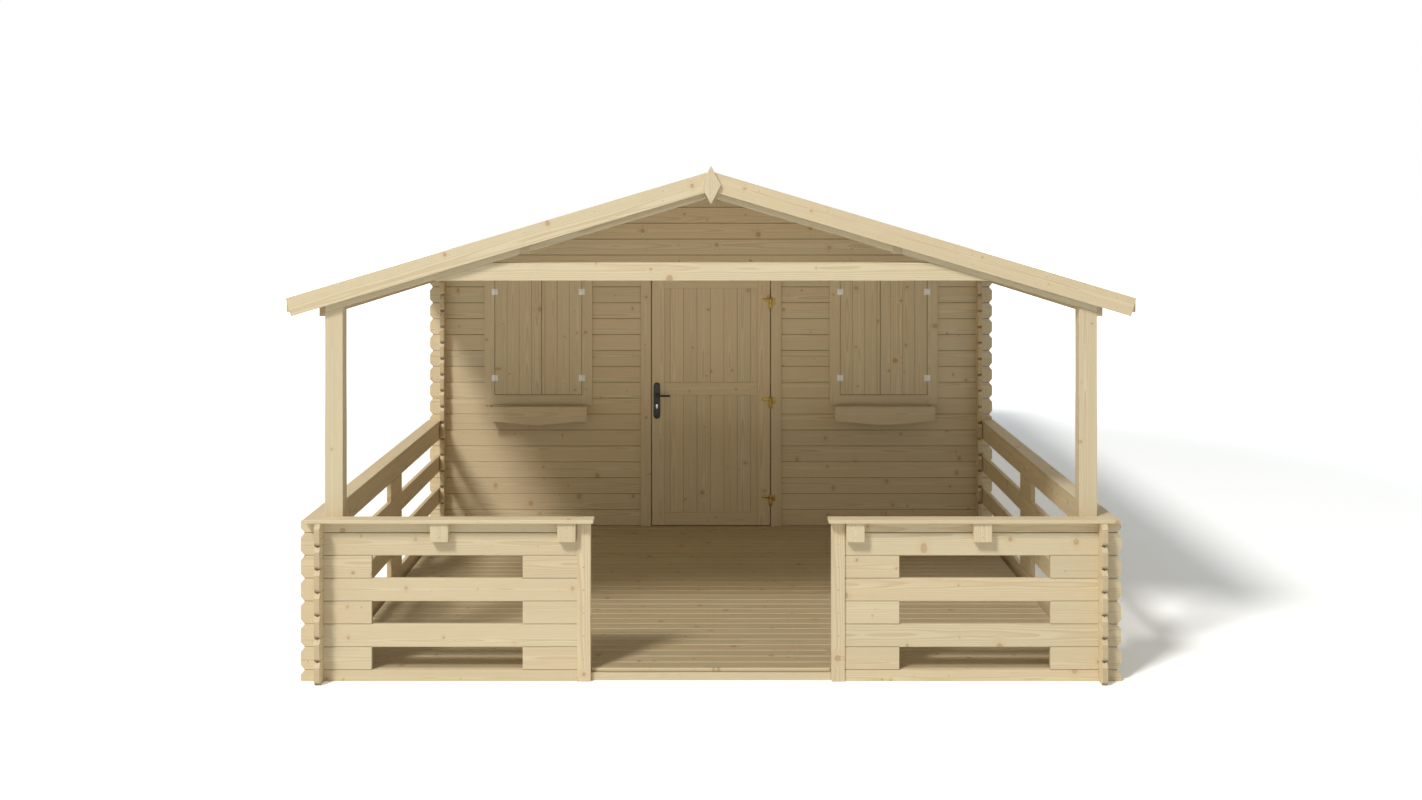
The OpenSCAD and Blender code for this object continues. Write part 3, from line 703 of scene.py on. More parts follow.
@dataclass(frozen=True)
class Lay:
    """How boards lie side by side in one stretch of a timber.

    joint_axis counts the joints, which start at first and come every spacing; a spacing of 0 means
    that each separate shell is one board. Seams are planes, each an axis and a place on it, along
    which these boards butt against others. Slots are stretches along an axis where no board lies
    against the joint, up to a height. Shade is painted shade on every face, as the shade in a narrow gap.
    """

    grain: Grain
    spacing: float = 0.0
    first: float = 0.0
    joint_axis: int = Z
    holds: Callable[[Vector], bool] = field(default=lambda place: True)
    seams: Sequence[Plane] = ()
    slots: Sequence[Slot] = ()
    shade: float = 0.0

    @property
    def planes(self) -> list[Plane]:
        """Planes along which these boards are sawn before they are darkened."""
        beside = [(axis, at + shift) for axis, at in self.seams for shift in (-SEAM_W, 0.0, SEAM_W)]
        return beside + [(axis, at) for axis, low, high, _ in self.slots for at in (low, high)]

    def row(self, place: Vector) -> int:
        """Gives the number of the board at a place."""
        return math.floor((place[self.joint_axis] - self.first) / self.spacing) if self.spacing else 0

    def joint_depth(self, place: Vector, normal: Vector, centre: Vector) -> float:
        """Tells how dark a corner of a face is made by a joint line and by painted shade.

        Args:
            place: The corner.
            normal: The face's normal.
            centre: The face's centre.

        Returns:
            A number from 0 to 1.
        """
        if any(abs(place[axis] - at) < SEAM_EDGE and abs(normal[axis]) < 0.5 for axis, at in self.seams):
            return SEAM_DEPTH
        level, upright = JOINT_SLOPE
        if not self.spacing or not level < abs(normal[self.joint_axis]) < upright:
            return self.shade
        if any(low < centre[axis] < high and centre.z < top for axis, low, high, top in self.slots):
            return self.shade
        share = (place[self.joint_axis] - self.first) / self.spacing
        off = abs(share - round(share)) * self.spacing
        if self.joint_axis == Z and off < JOINT_REACH:
            # The shaded lower face's extra darkness is painted shade.
            bottom, lip = LIT_FACE if normal.z > 0 else SHADED_FACE
            return bottom if off < JOINT_BOTTOM else lip
        return 1.0 if off < JOINT_BOTTOM else self.shade


def lay_fibres(piece: Piece, lays: Sequence[Lay]) -> None:
    """Gives each board of a piece its own place in a tree.

    Writes two attributes on the face corners: fibre, the distance along the fibres and the two
    distances from the pith; and mark, the board's own number, end grain, and joint line together
    with painted shade.

    Args:
        piece: The timber.
        lays: Where boards lie; the first one that holds a face counts.
    """
    mesh = piece.data
    islands = face_islands(mesh)
    boards: dict[tuple, list[bpy.types.MeshPolygon]] = {}
    for face in mesh.polygons:
        inside = face.center - face.normal * LOOK_INSIDE
        number = next(i for i, lay in enumerate(lays) if lay.holds(inside))
        boards.setdefault((islands[face.index], number, lays[number].row(inside)), []).append(face)
    corner_points = np.array([mesh.vertices[loop.vertex_index].co for loop in mesh.loops])
    fibre = np.zeros((len(mesh.loops), 3), np.float32)
    mark = np.zeros((len(mesh.loops), 3), np.float32)
    for count, key in enumerate(sorted(boards)):
        lay = lays[key[1]]
        axes = lay.grain.axes
        rng = random.Random(f"{piece.name} {count}")
        corners = [c for face in boards[key] for c in face.loop_indices]
        local = corner_points[corners] @ axes.T
        size = np.ptp(local, axis=0)
        if size[2] > size[1]:
            local = local[:, [0, 2, 1]]
        centre = (local.min(axis=0) + local.max(axis=0)) / 2
        away = rng.choice((-1, 1)) * rng.uniform(PITH_NEAR, PITH_FAR)
        pith = np.array([rng.uniform(-TRUNK_HALF, TRUNK_HALF), rng.uniform(-PITH_SIDE, PITH_SIDE), away])
        fibre[corners] = local - centre + pith
        mark[corners, 0] = rng.random()
        for face in boards[key]:
            for c in face.loop_indices:
                mark[c, 1] = abs(face.normal.dot(Vector(axes[0]))) > END_FACE
                mark[c, 2] = lay.joint_depth(Vector(corner_points[c]), face.normal, face.center)
    for name, values in (("fibre", fibre), ("mark", mark)):
        mesh.attributes.new(name, "FLOAT_VECTOR", "CORNER").data.foreach_set("vector", values.ravel())


def copy_node(frame: dict, node: str, name: str) -> Piece:
    """Copies a node of the frame and merges its loose triangles into whole faces.

    Args:
        node: The node's name.
        name: Name for the copy.

    Returns:
        The copy, which rides on the node's body and stands for the node.
    """
    source = frame["nodes"][node]
    piece = source.copy()
    piece.data = source.data.copy()
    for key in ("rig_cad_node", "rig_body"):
        piece.pop(key, None)
    piece.name = name
    piece.parent = None
    bpy.context.scene.collection.objects.link(piece)
    take(piece)
    bpy.ops.mesh.customdata_custom_splitnormals_clear()
    with editing(piece, "VERT"):
        bpy.ops.mesh.select_all(action="SELECT")
        bpy.ops.mesh.remove_doubles(threshold=MERGE)
        bpy.ops.mesh.dissolve_limited(angle_limit=math.radians(0.5))
    bpy.ops.object.shade_flat()
    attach(piece, source["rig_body"])
    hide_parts(node)
    return piece


def slot_of(frame: dict, node: str) -> str:
    """Gives the record's material slot of a node."""
    return next(s["material_slot"] for s in frame["record"]["subparts"] if s["node"] == node)


def ease_edges(piece: Piece, width: float, sharp: float, shortest: float = 0.0) -> None:
    """Rounds the outward edges that turn by more than an angle and aren't too short.

    Args:
        piece: The piece.
        width: Width of the rounding.
        sharp: Least angle between the two faces' normals.
        shortest: Least length of an edge; 0 also keeps roundings from running into each other.
    """
    mesh = bmesh.new()
    mesh.from_mesh(piece.data)
    weight = mesh.edges.layers.float.new("bevel_weight_edge")
    for edge in mesh.edges:
        outward = len(edge.link_faces) == 2 and edge.is_convex
        if outward and edge.calc_face_angle() > sharp and edge.calc_length() > shortest:
            edge[weight] = 1.0
    mesh.to_mesh(piece.data)
    mesh.free()
    bevel = piece.modifiers.new("eased", "BEVEL")
    bevel.width = width
    bevel.segments = 2
    bevel.limit_method = "WEIGHT"
    bevel.use_clamp_overlap = not shortest
    apply_modifiers(piece)


@dataclass
class Timber:
    """A timber of the frame: its node, the lays of its boards, and how its edges are eased.

    Pockets are boxes cut out of it, each a lowest and a highest corner.
    """

    node: str
    lays: Sequence[Lay]
    ease: float = 1.5 * MM
    pockets: Sequence[Block] = ()
    sharp: float = math.radians(60)
    shortest: float = 9.5 * MM

    def make(self, frame: dict, finishes: Finishes) -> Piece:
        """Copies the node, cuts and saws it, eases its edges and lays its fibres.

        Args:
            finishes: The shed's finishes.

        Returns:
            The finished piece, which stands for the node.
        """
        piece = copy_node(frame, self.node, f"{self.node}_pine")
        if self.pockets:
            self.cut_pockets(piece)
        self.saw(piece)
        ease_edges(piece, self.ease, self.sharp, self.shortest)
        slot = slot_of(frame, self.node)
        finishes.coat(piece, slot)
        lay_fibres(piece, self.lays)
        log.info("%s: %d faces", piece.name, len(piece.data.polygons))
        return piece

    def cut_pockets(self, piece: Piece) -> None:
        """Cuts the pockets out of the timber.

        Args:
            piece: The copied node.
        """
        mesh = bmesh.new()
        for low, high in self.pockets:
            place = Matrix.Translation((low + high) / 2) @ Matrix.Diagonal((*(high - low), 1.0))
            bmesh.ops.create_cube(mesh, size=1.0, matrix=place)
        cutter = bpy.data.objects.new("pocket_cutter", bpy.data.meshes.new("pocket_cutter"))
        mesh.to_mesh(cutter.data)
        mesh.free()
        cut = piece.modifiers.new("pockets", "BOOLEAN")
        cut.operation, cut.solver, cut.object = "DIFFERENCE", "EXACT", cutter
        apply_modifiers(piece)
        bpy.data.objects.remove(cutter)

    def saw(self, piece: Piece) -> None:
        """Saws the timber along its seams, and a hair beside them, so that they can be darkened.

        Args:
            piece: The copied node.
        """
        planes = sorted({plane for lay in self.lays for plane in lay.planes})
        if not planes:
            return
        with editing(piece, "VERT"):
            for axis, at in planes:
                normal = Vector(1.0 if i == axis else 0.0 for i in range(3))
                bpy.ops.mesh.select_all(action="SELECT")
                bpy.ops.mesh.bisect(plane_co=normal * at, plane_no=normal)


@dataclass
class Fitting:
    """A metal or plastic fitting of the frame: its node, its finish and its eased edges' width."""

    node: str
    finish: str
    ease: float = 0.5 * MM
    sharp: float = math.radians(50)
    smooth: float = math.radians(30)

    def make(self, frame: dict, finishes: Finishes) -> Piece:
        """Copies the node, eases its edges and gives it its finish.

        Args:
            finishes: The shed's finishes.

        Returns:
            The finished piece, which stands for the node.
        """
        piece = copy_node(frame, self.node, f"{self.node}_{self.finish}")
        ease_edges(piece, self.ease, self.sharp)
        take(piece)
        bpy.ops.object.shade_smooth_by_angle(angle=self.smooth)
        finishes.coat(piece, self.finish)
        slot_of(frame, self.node)
        log.info("%s: %d faces", piece.name, len(piece.data.polygons))
        return piece


# ------------------------------------------------------------------ fastenings


class Facing(Enum):
    """Way in which a surface faces."""

    FRONT = (0.0, -1.0, 0.0)
    REAR = (0.0, 1.0, 0.0)
    TOP = (0.0, 0.0, 1.0)
    RIGHT = (1.0, 0.0, 0.0)
    LEFT = (-1.0, 0.0, 0.0)
    RIGHT_ROOF = (math.sin(ROOF_PITCH), 0.0, math.cos(ROOF_PITCH))
    LEFT_ROOF = (-math.sin(ROOF_PITCH), 0.0, math.cos(ROOF_PITCH))


@dataclass(frozen=True)
class Head:
    """Head of a screw, with a six-pointed socket, or the flat head of a nail, without one.

    Rim is a share of the radius, crown and socket_depth are shares of proud, and the socket's floor
    stays above the surface that the head sits on. Star draws in every other corner of the socket.
    """

    name: str
    finish: str
    radius: float = 4.0 * MM
    proud: float = 0.5 * MM
    socket: bool = True
    sunk: float = 1.5 * MM
    rim: float = 0.22
    crown: float = 0.5
    star: float = 0.66
    socket_depth: float = 1.3
    socket_taper: float = 0.8
    smooth: float = math.radians(35)

    def model(self) -> Piece:
        """Models the head once, facing up, its surface's level at z = 0.

        Returns:
            The head.
        """
        bpy.ops.mesh.primitive_cylinder_add(
            vertices=12 if self.socket else 10,
            radius=self.radius,
            depth=self.proud + self.sunk,
            location=(0, 0, (self.proud - self.sunk) / 2),
        )
        head = settle(bpy.context.object)
        head.name = self.name
        with editing(head):
            select_faces(head, lambda face: face.normal.z < -0.9)
            bpy.ops.mesh.delete(type="FACE")
            select_faces(head, lambda face: face.normal.z > 0.9)
            rim = self.radius * self.rim
            bpy.ops.mesh.inset(thickness=rim, depth=self.proud * self.crown)
            if self.socket:
                bpy.ops.mesh.inset(thickness=rim, depth=0.0)
                self.cut_socket(head)
        take(head)
        bpy.ops.object.shade_smooth_by_angle(angle=self.smooth)
        return head

    def cut_socket(self, head: Piece) -> None:
        """Draws every other corner of the selected face inwards, and sinks the face.

        Args:
            head: The head, in edit mode.
        """
        mesh = bmesh.from_edit_mesh(head.data)
        face = next(f for f in mesh.faces if f.select)
        for corner in list(face.verts)[::2]:
            corner.co.x *= self.star
            corner.co.y *= self.star
        bmesh.update_edit_mesh(head.data)
        depth = self.proud * self.socket_depth
        bpy.ops.mesh.extrude_region_move(TRANSFORM_OT_translate={"value": (0, 0, -depth)})
        bpy.ops.transform.resize(value=(self.socket_taper, self.socket_taper, 1.0))


@dataclass(frozen=True)
class Seat:
    """Where one fastening sits: a place on a surface and the way that the surface faces."""

    x: float
    y: float
    z: float
    facing: Facing = Facing.FRONT

    @property
    def matrix(self) -> Matrix:
        """Place and turn of the fastening, with a turn of its own about its axis.

        Returns:
            The matrix that moves a head onto the seat.
        """
        place = Vector((self.x, self.y, self.z))
        turn = random.Random(str(place)).uniform(0, math.tau)
        aim = Vector(self.facing.value).to_track_quat("Z", "Y").to_matrix().to_4x4()
        return Matrix.Translation(place) @ aim @ Matrix.Rotation(turn, 4, "Z")


@dataclass
class Fastenings:
    """Fastenings of one kind on one body, modelled once and copied onto their seats."""

    head: Head
    seats: Iterable[Seat]
    body: str
    slot: str

    def make(self, finishes: Finishes) -> None:
        """Models the head, copies it onto every seat and joins the copies.

        Args:
            finishes: The shed's finishes.
        """
        master = self.head.model()
        finishes.coat(master, self.head.finish)
        copies = []
        for seat in self.seats:
            one = master.copy()
            one.data = master.data.copy()
            one.data.transform(seat.matrix)
            bpy.context.scene.collection.objects.link(one)
            copies.append(one)
        bpy.data.objects.remove(master)
        piece = join(copies, self.head.name)
        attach(piece, self.body)
        log.info("%s: %d fastenings", piece.name, len(copies))


# ------------------------------------------------------------ places and blocks


def below(axis: int, at: float) -> Callable[[Vector], bool]:
    """Makes a test that holds for places below a level of an axis."""
    return lambda place: place[axis] < at


def above(axis: int, at: float) -> Callable[[Vector], bool]:
    """Makes a test that holds for places above a level of an axis."""
    return lambda place: place[axis] > at


def middle(block: Block, axis: int) -> float:
    """Gives the middle of a block along an axis."""
    return (block[0][axis] + block[1][axis]) / 2


def evenly(first: float, last: float, count: int) -> list[float]:
    """Gives a number of places at even distances from the first to the last."""
    return [first + n * (last - first) / (count - 1) for n in range(count)]


def log_height() -> float:
    """Gives the height of one full log: the front sill is half a log."""
    low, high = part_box("front_sill_log")
    return 2 * (high.z - low.z)


@dataclass(frozen=True)
class LogEnd:
    """Mouths of the grooves at the free end of a stack of logs.

    The end is at a place along one axis, the logs' middle is at a place along the other, and inward
    is 1 or -1 along the logs. Each mouth starts a little outside the end.
    """

    axis: int
    end: float
    middle: float
    inward: int
    first: float
    width: float = 9 * MM
    height: float = 7 * MM
    depth: float = 55 * MM
    outside: float = 5 * MM

    def mouths(self, top: float) -> list[Block]:
        """Gives a box for the mouth at each joint below a height.

        Args:
            top: The height.

        Returns:
            The lowest and highest corner of each box.
        """
        ends = sorted((self.end - self.inward * self.outside, self.end + self.inward * self.depth))
        sides = (self.middle - self.width / 2, self.middle + self.width / 2)
        x, y = (ends, sides) if self.axis == X else (sides, ends)
        half = self.height / 2
        count = math.ceil((top - self.first) / log_height())
        levels = [self.first + n * log_height() for n in range(count)]
        return [(Vector((x[0], y[0], z - half)), Vector((x[1], y[1], z + half))) for z in levels]


# -------------------------------------------------------------- sub-assemblies


@dataclass
class Assembly:
    """A part of the shed, made from nodes of the frame in the shed's finishes."""

    frame: dict
    finishes: Finishes

    def make(self, *parts: Timber | Fitting) -> list[Piece]:
        """Makes timbers and fittings one after the other."""
        return [part.make(self.frame, self.finishes) for part in parts]

    def fasten(self, head: Head, seats: Iterable[Seat], body: str = "shed", slot: str = "brass") -> None:
        """Puts a fastening on every seat."""
        Fastenings(head, seats, body, slot).make(self.finishes)

    def solids(self, node: str) -> list[Block]:
        """Gives the lowest and highest corners of each solid of a node.

        Args:
            node: The node's name.

        Returns:
            A block for each solid.
        """
        copy = self.frame["nodes"][node].data.copy()
        mesh = bmesh.new()
        mesh.from_mesh(copy)
        bmesh.ops.remove_doubles(mesh, verts=mesh.verts, dist=MERGE)
        mesh.to_mesh(copy)
        mesh.free()
        corners: dict[int, list[Vector]] = {}
        for number, face in zip(face_islands(copy), copy.polygons):
            corners.setdefault(number, []).extend(copy.vertices[v].co for v in face.vertices)
        return [
            tuple(Vector(pick(c[axis] for c in points) for axis in range(3)) for pick in (min, max))
            for _, points in sorted(corners.items())
        ]


@dataclass
class Walls(Assembly):
    """Logs of the shed's four walls and of the front gable."""

    def build(self) -> None:
        """Builds every wall."""
        log_h = log_height()
        along = [Lay(Grain.BACK, log_h)]
        across = [Lay(Grain.ACROSS, log_h, -log_h / 2)]
        for node in ("left_wall", "right_wall"):
            self.make(Timber(node, along, pockets=self.pockets(node, Y, 0.0)))
        crossing = ("rear_wall", "front_wall_left", "front_wall_right", "front_gable", "front_sill_log")
        for node in crossing:
            self.make(Timber(node, across, pockets=self.pockets(node, X, log_h / 2)))

    @staticmethod
    def pockets(node: str, axis: int, first: float) -> list[Block]:
        """Gives the mouths at a wall's free ends: where it reaches past the corners.

        Args:
            node: The wall's node.
            axis: The axis along its logs.
            first: Height of its first joint.

        Returns:
            A block for each mouth.
        """
        low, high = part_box(node)
        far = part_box("rear_wall")[1].x if axis == X else 0.0
        blocks = []
        for end, inward in ((low[axis], 1), (high[axis], -1)):
            if axis == Y or abs(end) > far - MM:
                stack = LogEnd(axis, end, middle((low, high), 1 - axis), inward, first)
                blocks += stack.mouths(high.z + MM)
        return [block for block in blocks if block[1].z > low.z]


@dataclass
class Roof(Assembly):
    """Roof boards and the timbers that carry and trim them.

    A roof board's nails lie at two shares of its width, ridge_gap from the ridge and end_gap or more
    from the roof's rear end. Screws lie at each barge_x left and right of the ridge, barge_down below
    the bargeboard's top, diamond_up above and below a diamond's middle, and eave_up above an eave
    board's middle, the first and last of them eave_inset from its ends.
    """

    board_w: float = 96 * MM
    nail_shares: tuple[float, float] = (0.25, 0.75)
    ridge_gap: float = 14 * MM
    end_gap: float = 8 * MM
    barge_x: tuple[float, ...] = (0.24, 0.58, 0.93, 1.30, 1.67, 2.02)
    barge_down: tuple[float, float] = (26 * MM, 72 * MM)
    diamond_up: float = 38 * MM
    eave_up: float = 8 * MM
    eave_inset: float = 50 * MM
    eave_count: int = 17

    def build(self) -> None:
        """Builds the roof."""
        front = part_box("right_roof")[0].y
        slopes = {"left_roof": Grain.LEFT_SLOPE, "right_roof": Grain.RIGHT_SLOPE}
        for node, grain in slopes.items():
            self.make(Timber(node, [Lay(grain, self.board_w, front, Y)], ease=1.0 * MM))
        sloping = [Lay(Grain.LEFT_SLOPE, holds=below(X, 0)), Lay(Grain.RIGHT_SLOPE)]
        for node in ("front_rafters", "bargeboards"):
            self.make(Timber(node, sloping, ease=2.0 * MM))
        for node in ("purlins", "eave_beams", "eave_boards"):
            self.make(Timber(node, [Lay(Grain.BACK)], ease=2.0 * MM))
        self.make(
            Timber("tie_beam", [Lay(Grain.ACROSS)], ease=2.5 * MM),
            Timber("ridge_diamonds", [Lay(Grain.UPRIGHT)], ease=2.0 * MM),
        )
        nails = Head("roof_nails", "zinc", radius=3.6 * MM, proud=0.3 * MM, socket=False)
        self.fasten(nails, self.board_seats())
        screws = Head("trim_screws", "zinc", radius=3.8 * MM, proud=0.03 * MM)
        self.fasten(screws, self.trim_seats())

    def board_seats(self) -> Iterator[Seat]:
        """Finds the nails: two in each roof board over each purlin and each side wall.

        Yields:
            A seat for each nail.
        """
        low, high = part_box("right_roof")
        side = next(middle(block, X) for block in self.solids("purlins") if block[0].x > 0)
        wall = middle(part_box("right_wall"), X)
        boards = range(math.ceil((high.y - low.y) / self.board_w))
        for n, share in product(boards, self.nail_shares):
            y = low.y + (n + share) * self.board_w
            if y > high.y - self.end_gap:
                continue
            for x in (self.ridge_gap, side, wall):
                z = high.z - x * math.tan(ROOF_PITCH)
                yield Seat(x, y, z, Facing.RIGHT_ROOF)
                yield Seat(-x, y, z, Facing.LEFT_ROOF)

    def trim_seats(self) -> Iterator[Seat]:
        """Finds the screws of the bargeboards, diamonds and eave boards.

        Yields:
            A seat for each screw.
        """
        low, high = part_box("bargeboards")
        for x, down, way in product(self.barge_x, self.barge_down, (-1, 1)):
            z = high.z - x * math.tan(ROOF_PITCH) - down / math.cos(ROOF_PITCH)
            yield Seat(way * x, low.y, z)
            yield Seat(way * x, high.y, z, Facing.REAR)
        for block in self.solids("ridge_diamonds"):
            front = block[0].y < 0
            y, facing = (block[0].y, Facing.FRONT) if front else (block[1].y, Facing.REAR)
            for up in (-self.diamond_up, self.diamond_up):
                yield Seat(0.0, y, middle(block, Z) + up, facing)
        low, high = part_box("eave_boards")
        z = middle((low, high), Z) + self.eave_up
        for y in evenly(low.y + self.eave_inset, high.y - self.eave_inset, self.eave_count):
            yield Seat(low.x, y, z, Facing.LEFT)
            yield Seat(high.x, y, z, Facing.RIGHT)


@dataclass
class Deck(Assembly):
    """Veranda deck, floor, joists and entrance sill.

    Screws and nails lie from_edge from a board's edge.
    """

    floor_board_w: float = 96 * MM
    from_edge: float = 22 * MM

    def build(self) -> None:
        """Builds the deck."""
        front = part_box("shed_floor")[0].y
        self.make(
            Timber("deck_boards", [Lay(Grain.ACROSS)], ease=4.0 * MM),
            Timber("entrance_sill", [Lay(Grain.ACROSS)], ease=2.0 * MM),
            Timber("floor_joists", [Lay(Grain.BACK)]),
            Timber("shed_floor", [Lay(Grain.ACROSS, self.floor_board_w, front, Y)], ease=1.0 * MM),
        )
        screws = Head("deck_screws", "zinc", radius=4.2 * MM, proud=0.2 * MM)
        self.fasten(screws, self.deck_seats())
        nails = Head("floor_nails", "zinc", radius=3.2 * MM, proud=0.2 * MM, socket=False)
        self.fasten(nails, self.floor_seats())

    def joists(self, under: str) -> list[float]:
        """Gives the joists' middles under the deck or under the floor.

        Args:
            under: Node of the deck or of the floor.

        Returns:
            Where each joist lies along x.
        """
        low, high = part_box(under)
        blocks = self.solids("floor_joists")
        return [middle(block, X) for block in blocks if low.y < middle(block, Y) < high.y]

    def deck_seats(self) -> Iterator[Seat]:
        """Finds two screws in each deck board over each joist.

        Yields:
            A seat for each screw.
        """
        for (low, high), x in product(self.solids("deck_boards"), self.joists("deck_boards")):
            for y in (low.y + self.from_edge, high.y - self.from_edge):
                yield Seat(x, y, high.z, Facing.TOP)

    def floor_seats(self) -> Iterator[Seat]:
        """Finds a nail in each floor board over each joist.

        Yields:
            A seat for each nail.
        """
        low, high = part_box("shed_floor")
        boards = range(int((high.y - low.y) / self.floor_board_w))
        for n, x in product(boards, self.joists("shed_floor")):
            yield Seat(x, low.y + n * self.floor_board_w + self.from_edge, high.z, Facing.TOP)


@dataclass
class Railing(Assembly):
    """Side and front railings with their caps, posts and corbels.

    closed_logs is how many logs' height is closed all the way, down from the top. The caps' screws lie
    at shares of the front cap and evenly along the side cap, from cap_front to cap_back off its ends,
    and corbel_up is their height on the corbels. Each end post has post_screws, one to a log.
    """

    closed_logs: float = 0.8
    cap_shares: tuple[float, ...] = (0.06, 0.36, 0.66, 0.94)
    cap_front: float = 120 * MM
    cap_back: float = 50 * MM
    cap_count: int = 8
    corbel_up: tuple[float, float] = (24 * MM, 71 * MM)
    post_screws: int = 6

    def build(self) -> None:
        """Builds the railings."""
        for side, way in SIDES:
            self.railing(side, way)
        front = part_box("left_wing_logs")[1].y
        caps = [Lay(Grain.ACROSS, holds=below(Y, front)), Lay(Grain.BACK)]
        self.make(
            Timber("rail_caps", caps, ease=2.0 * MM),
            Timber("wing_end_posts", [Lay(Grain.UPRIGHT)], ease=2.0 * MM),
            Timber("corner_posts", [Lay(Grain.UPRIGHT)], ease=2.5 * MM),
            Timber("corbel_blocks", [Lay(Grain.UPRIGHT)], ease=2.0 * MM),
        )
        screws = Head("railing_screws", "zinc", radius=3.8 * MM)
        self.fasten(screws, self.seats())

    def railing(self, side: str, way: int) -> None:
        """Builds the logs and blocks of one side railing and of the front railing beside it.

        Args:
            side: Left or right.
            way: -1 for left, 1 for right.
        """
        log_h = log_height()
        back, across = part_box(f"{side}_rail_logs"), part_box(f"{side}_wing_logs")
        top = back[1].z
        slot_top = top - self.closed_logs * log_h
        end = across[1].x if way > 0 else across[0].x
        rail = LogEnd(Y, back[0].y, middle(back, X), 1, 0.0).mouths(top)
        wing = LogEnd(X, end, middle(across, Y), -way, log_h / 2).mouths(top)
        back_slots = self.slots(f"{side}_rail_blocks", Y, slot_top, back[1].y)
        cross_slots = self.slots(f"{side}_wing_blocks", X, slot_top)
        for name, grain, first, slots, pockets in (
            ("rail", Grain.BACK, 0.0, back_slots, rail),
            ("wing", Grain.ACROSS, -log_h / 2, cross_slots, wing),
        ):
            logs = Lay(grain, log_h, first, slots=slots)
            self.make(
                Timber(f"{side}_{name}_logs", [logs], pockets=pockets),
                Timber(f"{side}_{name}_blocks", [Lay(grain, log_h, first)], pockets=pockets),
            )

    def slots(self, blocks: str, axis: int, top: float, *wall: float) -> list[Slot]:
        """Gives the open stretches between a railing's blocks, and to the wall where one ends it.

        Args:
            blocks: Node of the blocks.
            axis: The axis along the railing.
            top: Height above which the joints are closed all the way.
            wall: Where the last stretch ends, if it ends at a wall.

        Returns:
            For each stretch the axis, its two ends and the height.
        """
        spans = sorted({(round(a[axis], 4), round(b[axis], 4)) for a, b in self.solids(blocks)})
        ends = [span[0] for span in spans[1:]] + list(wall)
        return [(axis, span[1], end, top) for span, end in zip(spans, ends)]

    def seats(self) -> Iterator[Seat]:
        """Finds the screws of the caps, corbels and end posts.

        Yields:
            A seat for each screw.
        """
        log_y = middle(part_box("right_wing_logs"), Y)
        log_x = middle(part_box("right_rail_logs"), X)
        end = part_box("rail_caps")[1]
        gate = min(abs(a.x) for a, b in self.solids("rail_caps") if a.x > 0)
        for way in (-1, 1):
            for share in self.cap_shares:
                yield Seat(way * (gate + share * (log_x - gate)), log_y, end.z, Facing.TOP)
            for y in evenly(log_y + self.cap_front, end.y - self.cap_back, self.cap_count):
                yield Seat(way * log_x, y, end.z, Facing.TOP)
        for block, up in product(self.solids("corbel_blocks"), self.corbel_up):
            yield Seat(middle(block, X), block[0].y, block[0].z + up)
        for block, n in product(self.solids("wing_end_posts"), range(self.post_screws)):
            z = (n + 1) * log_height()
            yield Seat(middle(block, X), block[0].y, z)
            yield Seat(middle(block, X), block[1].y, z, Facing.REAR)


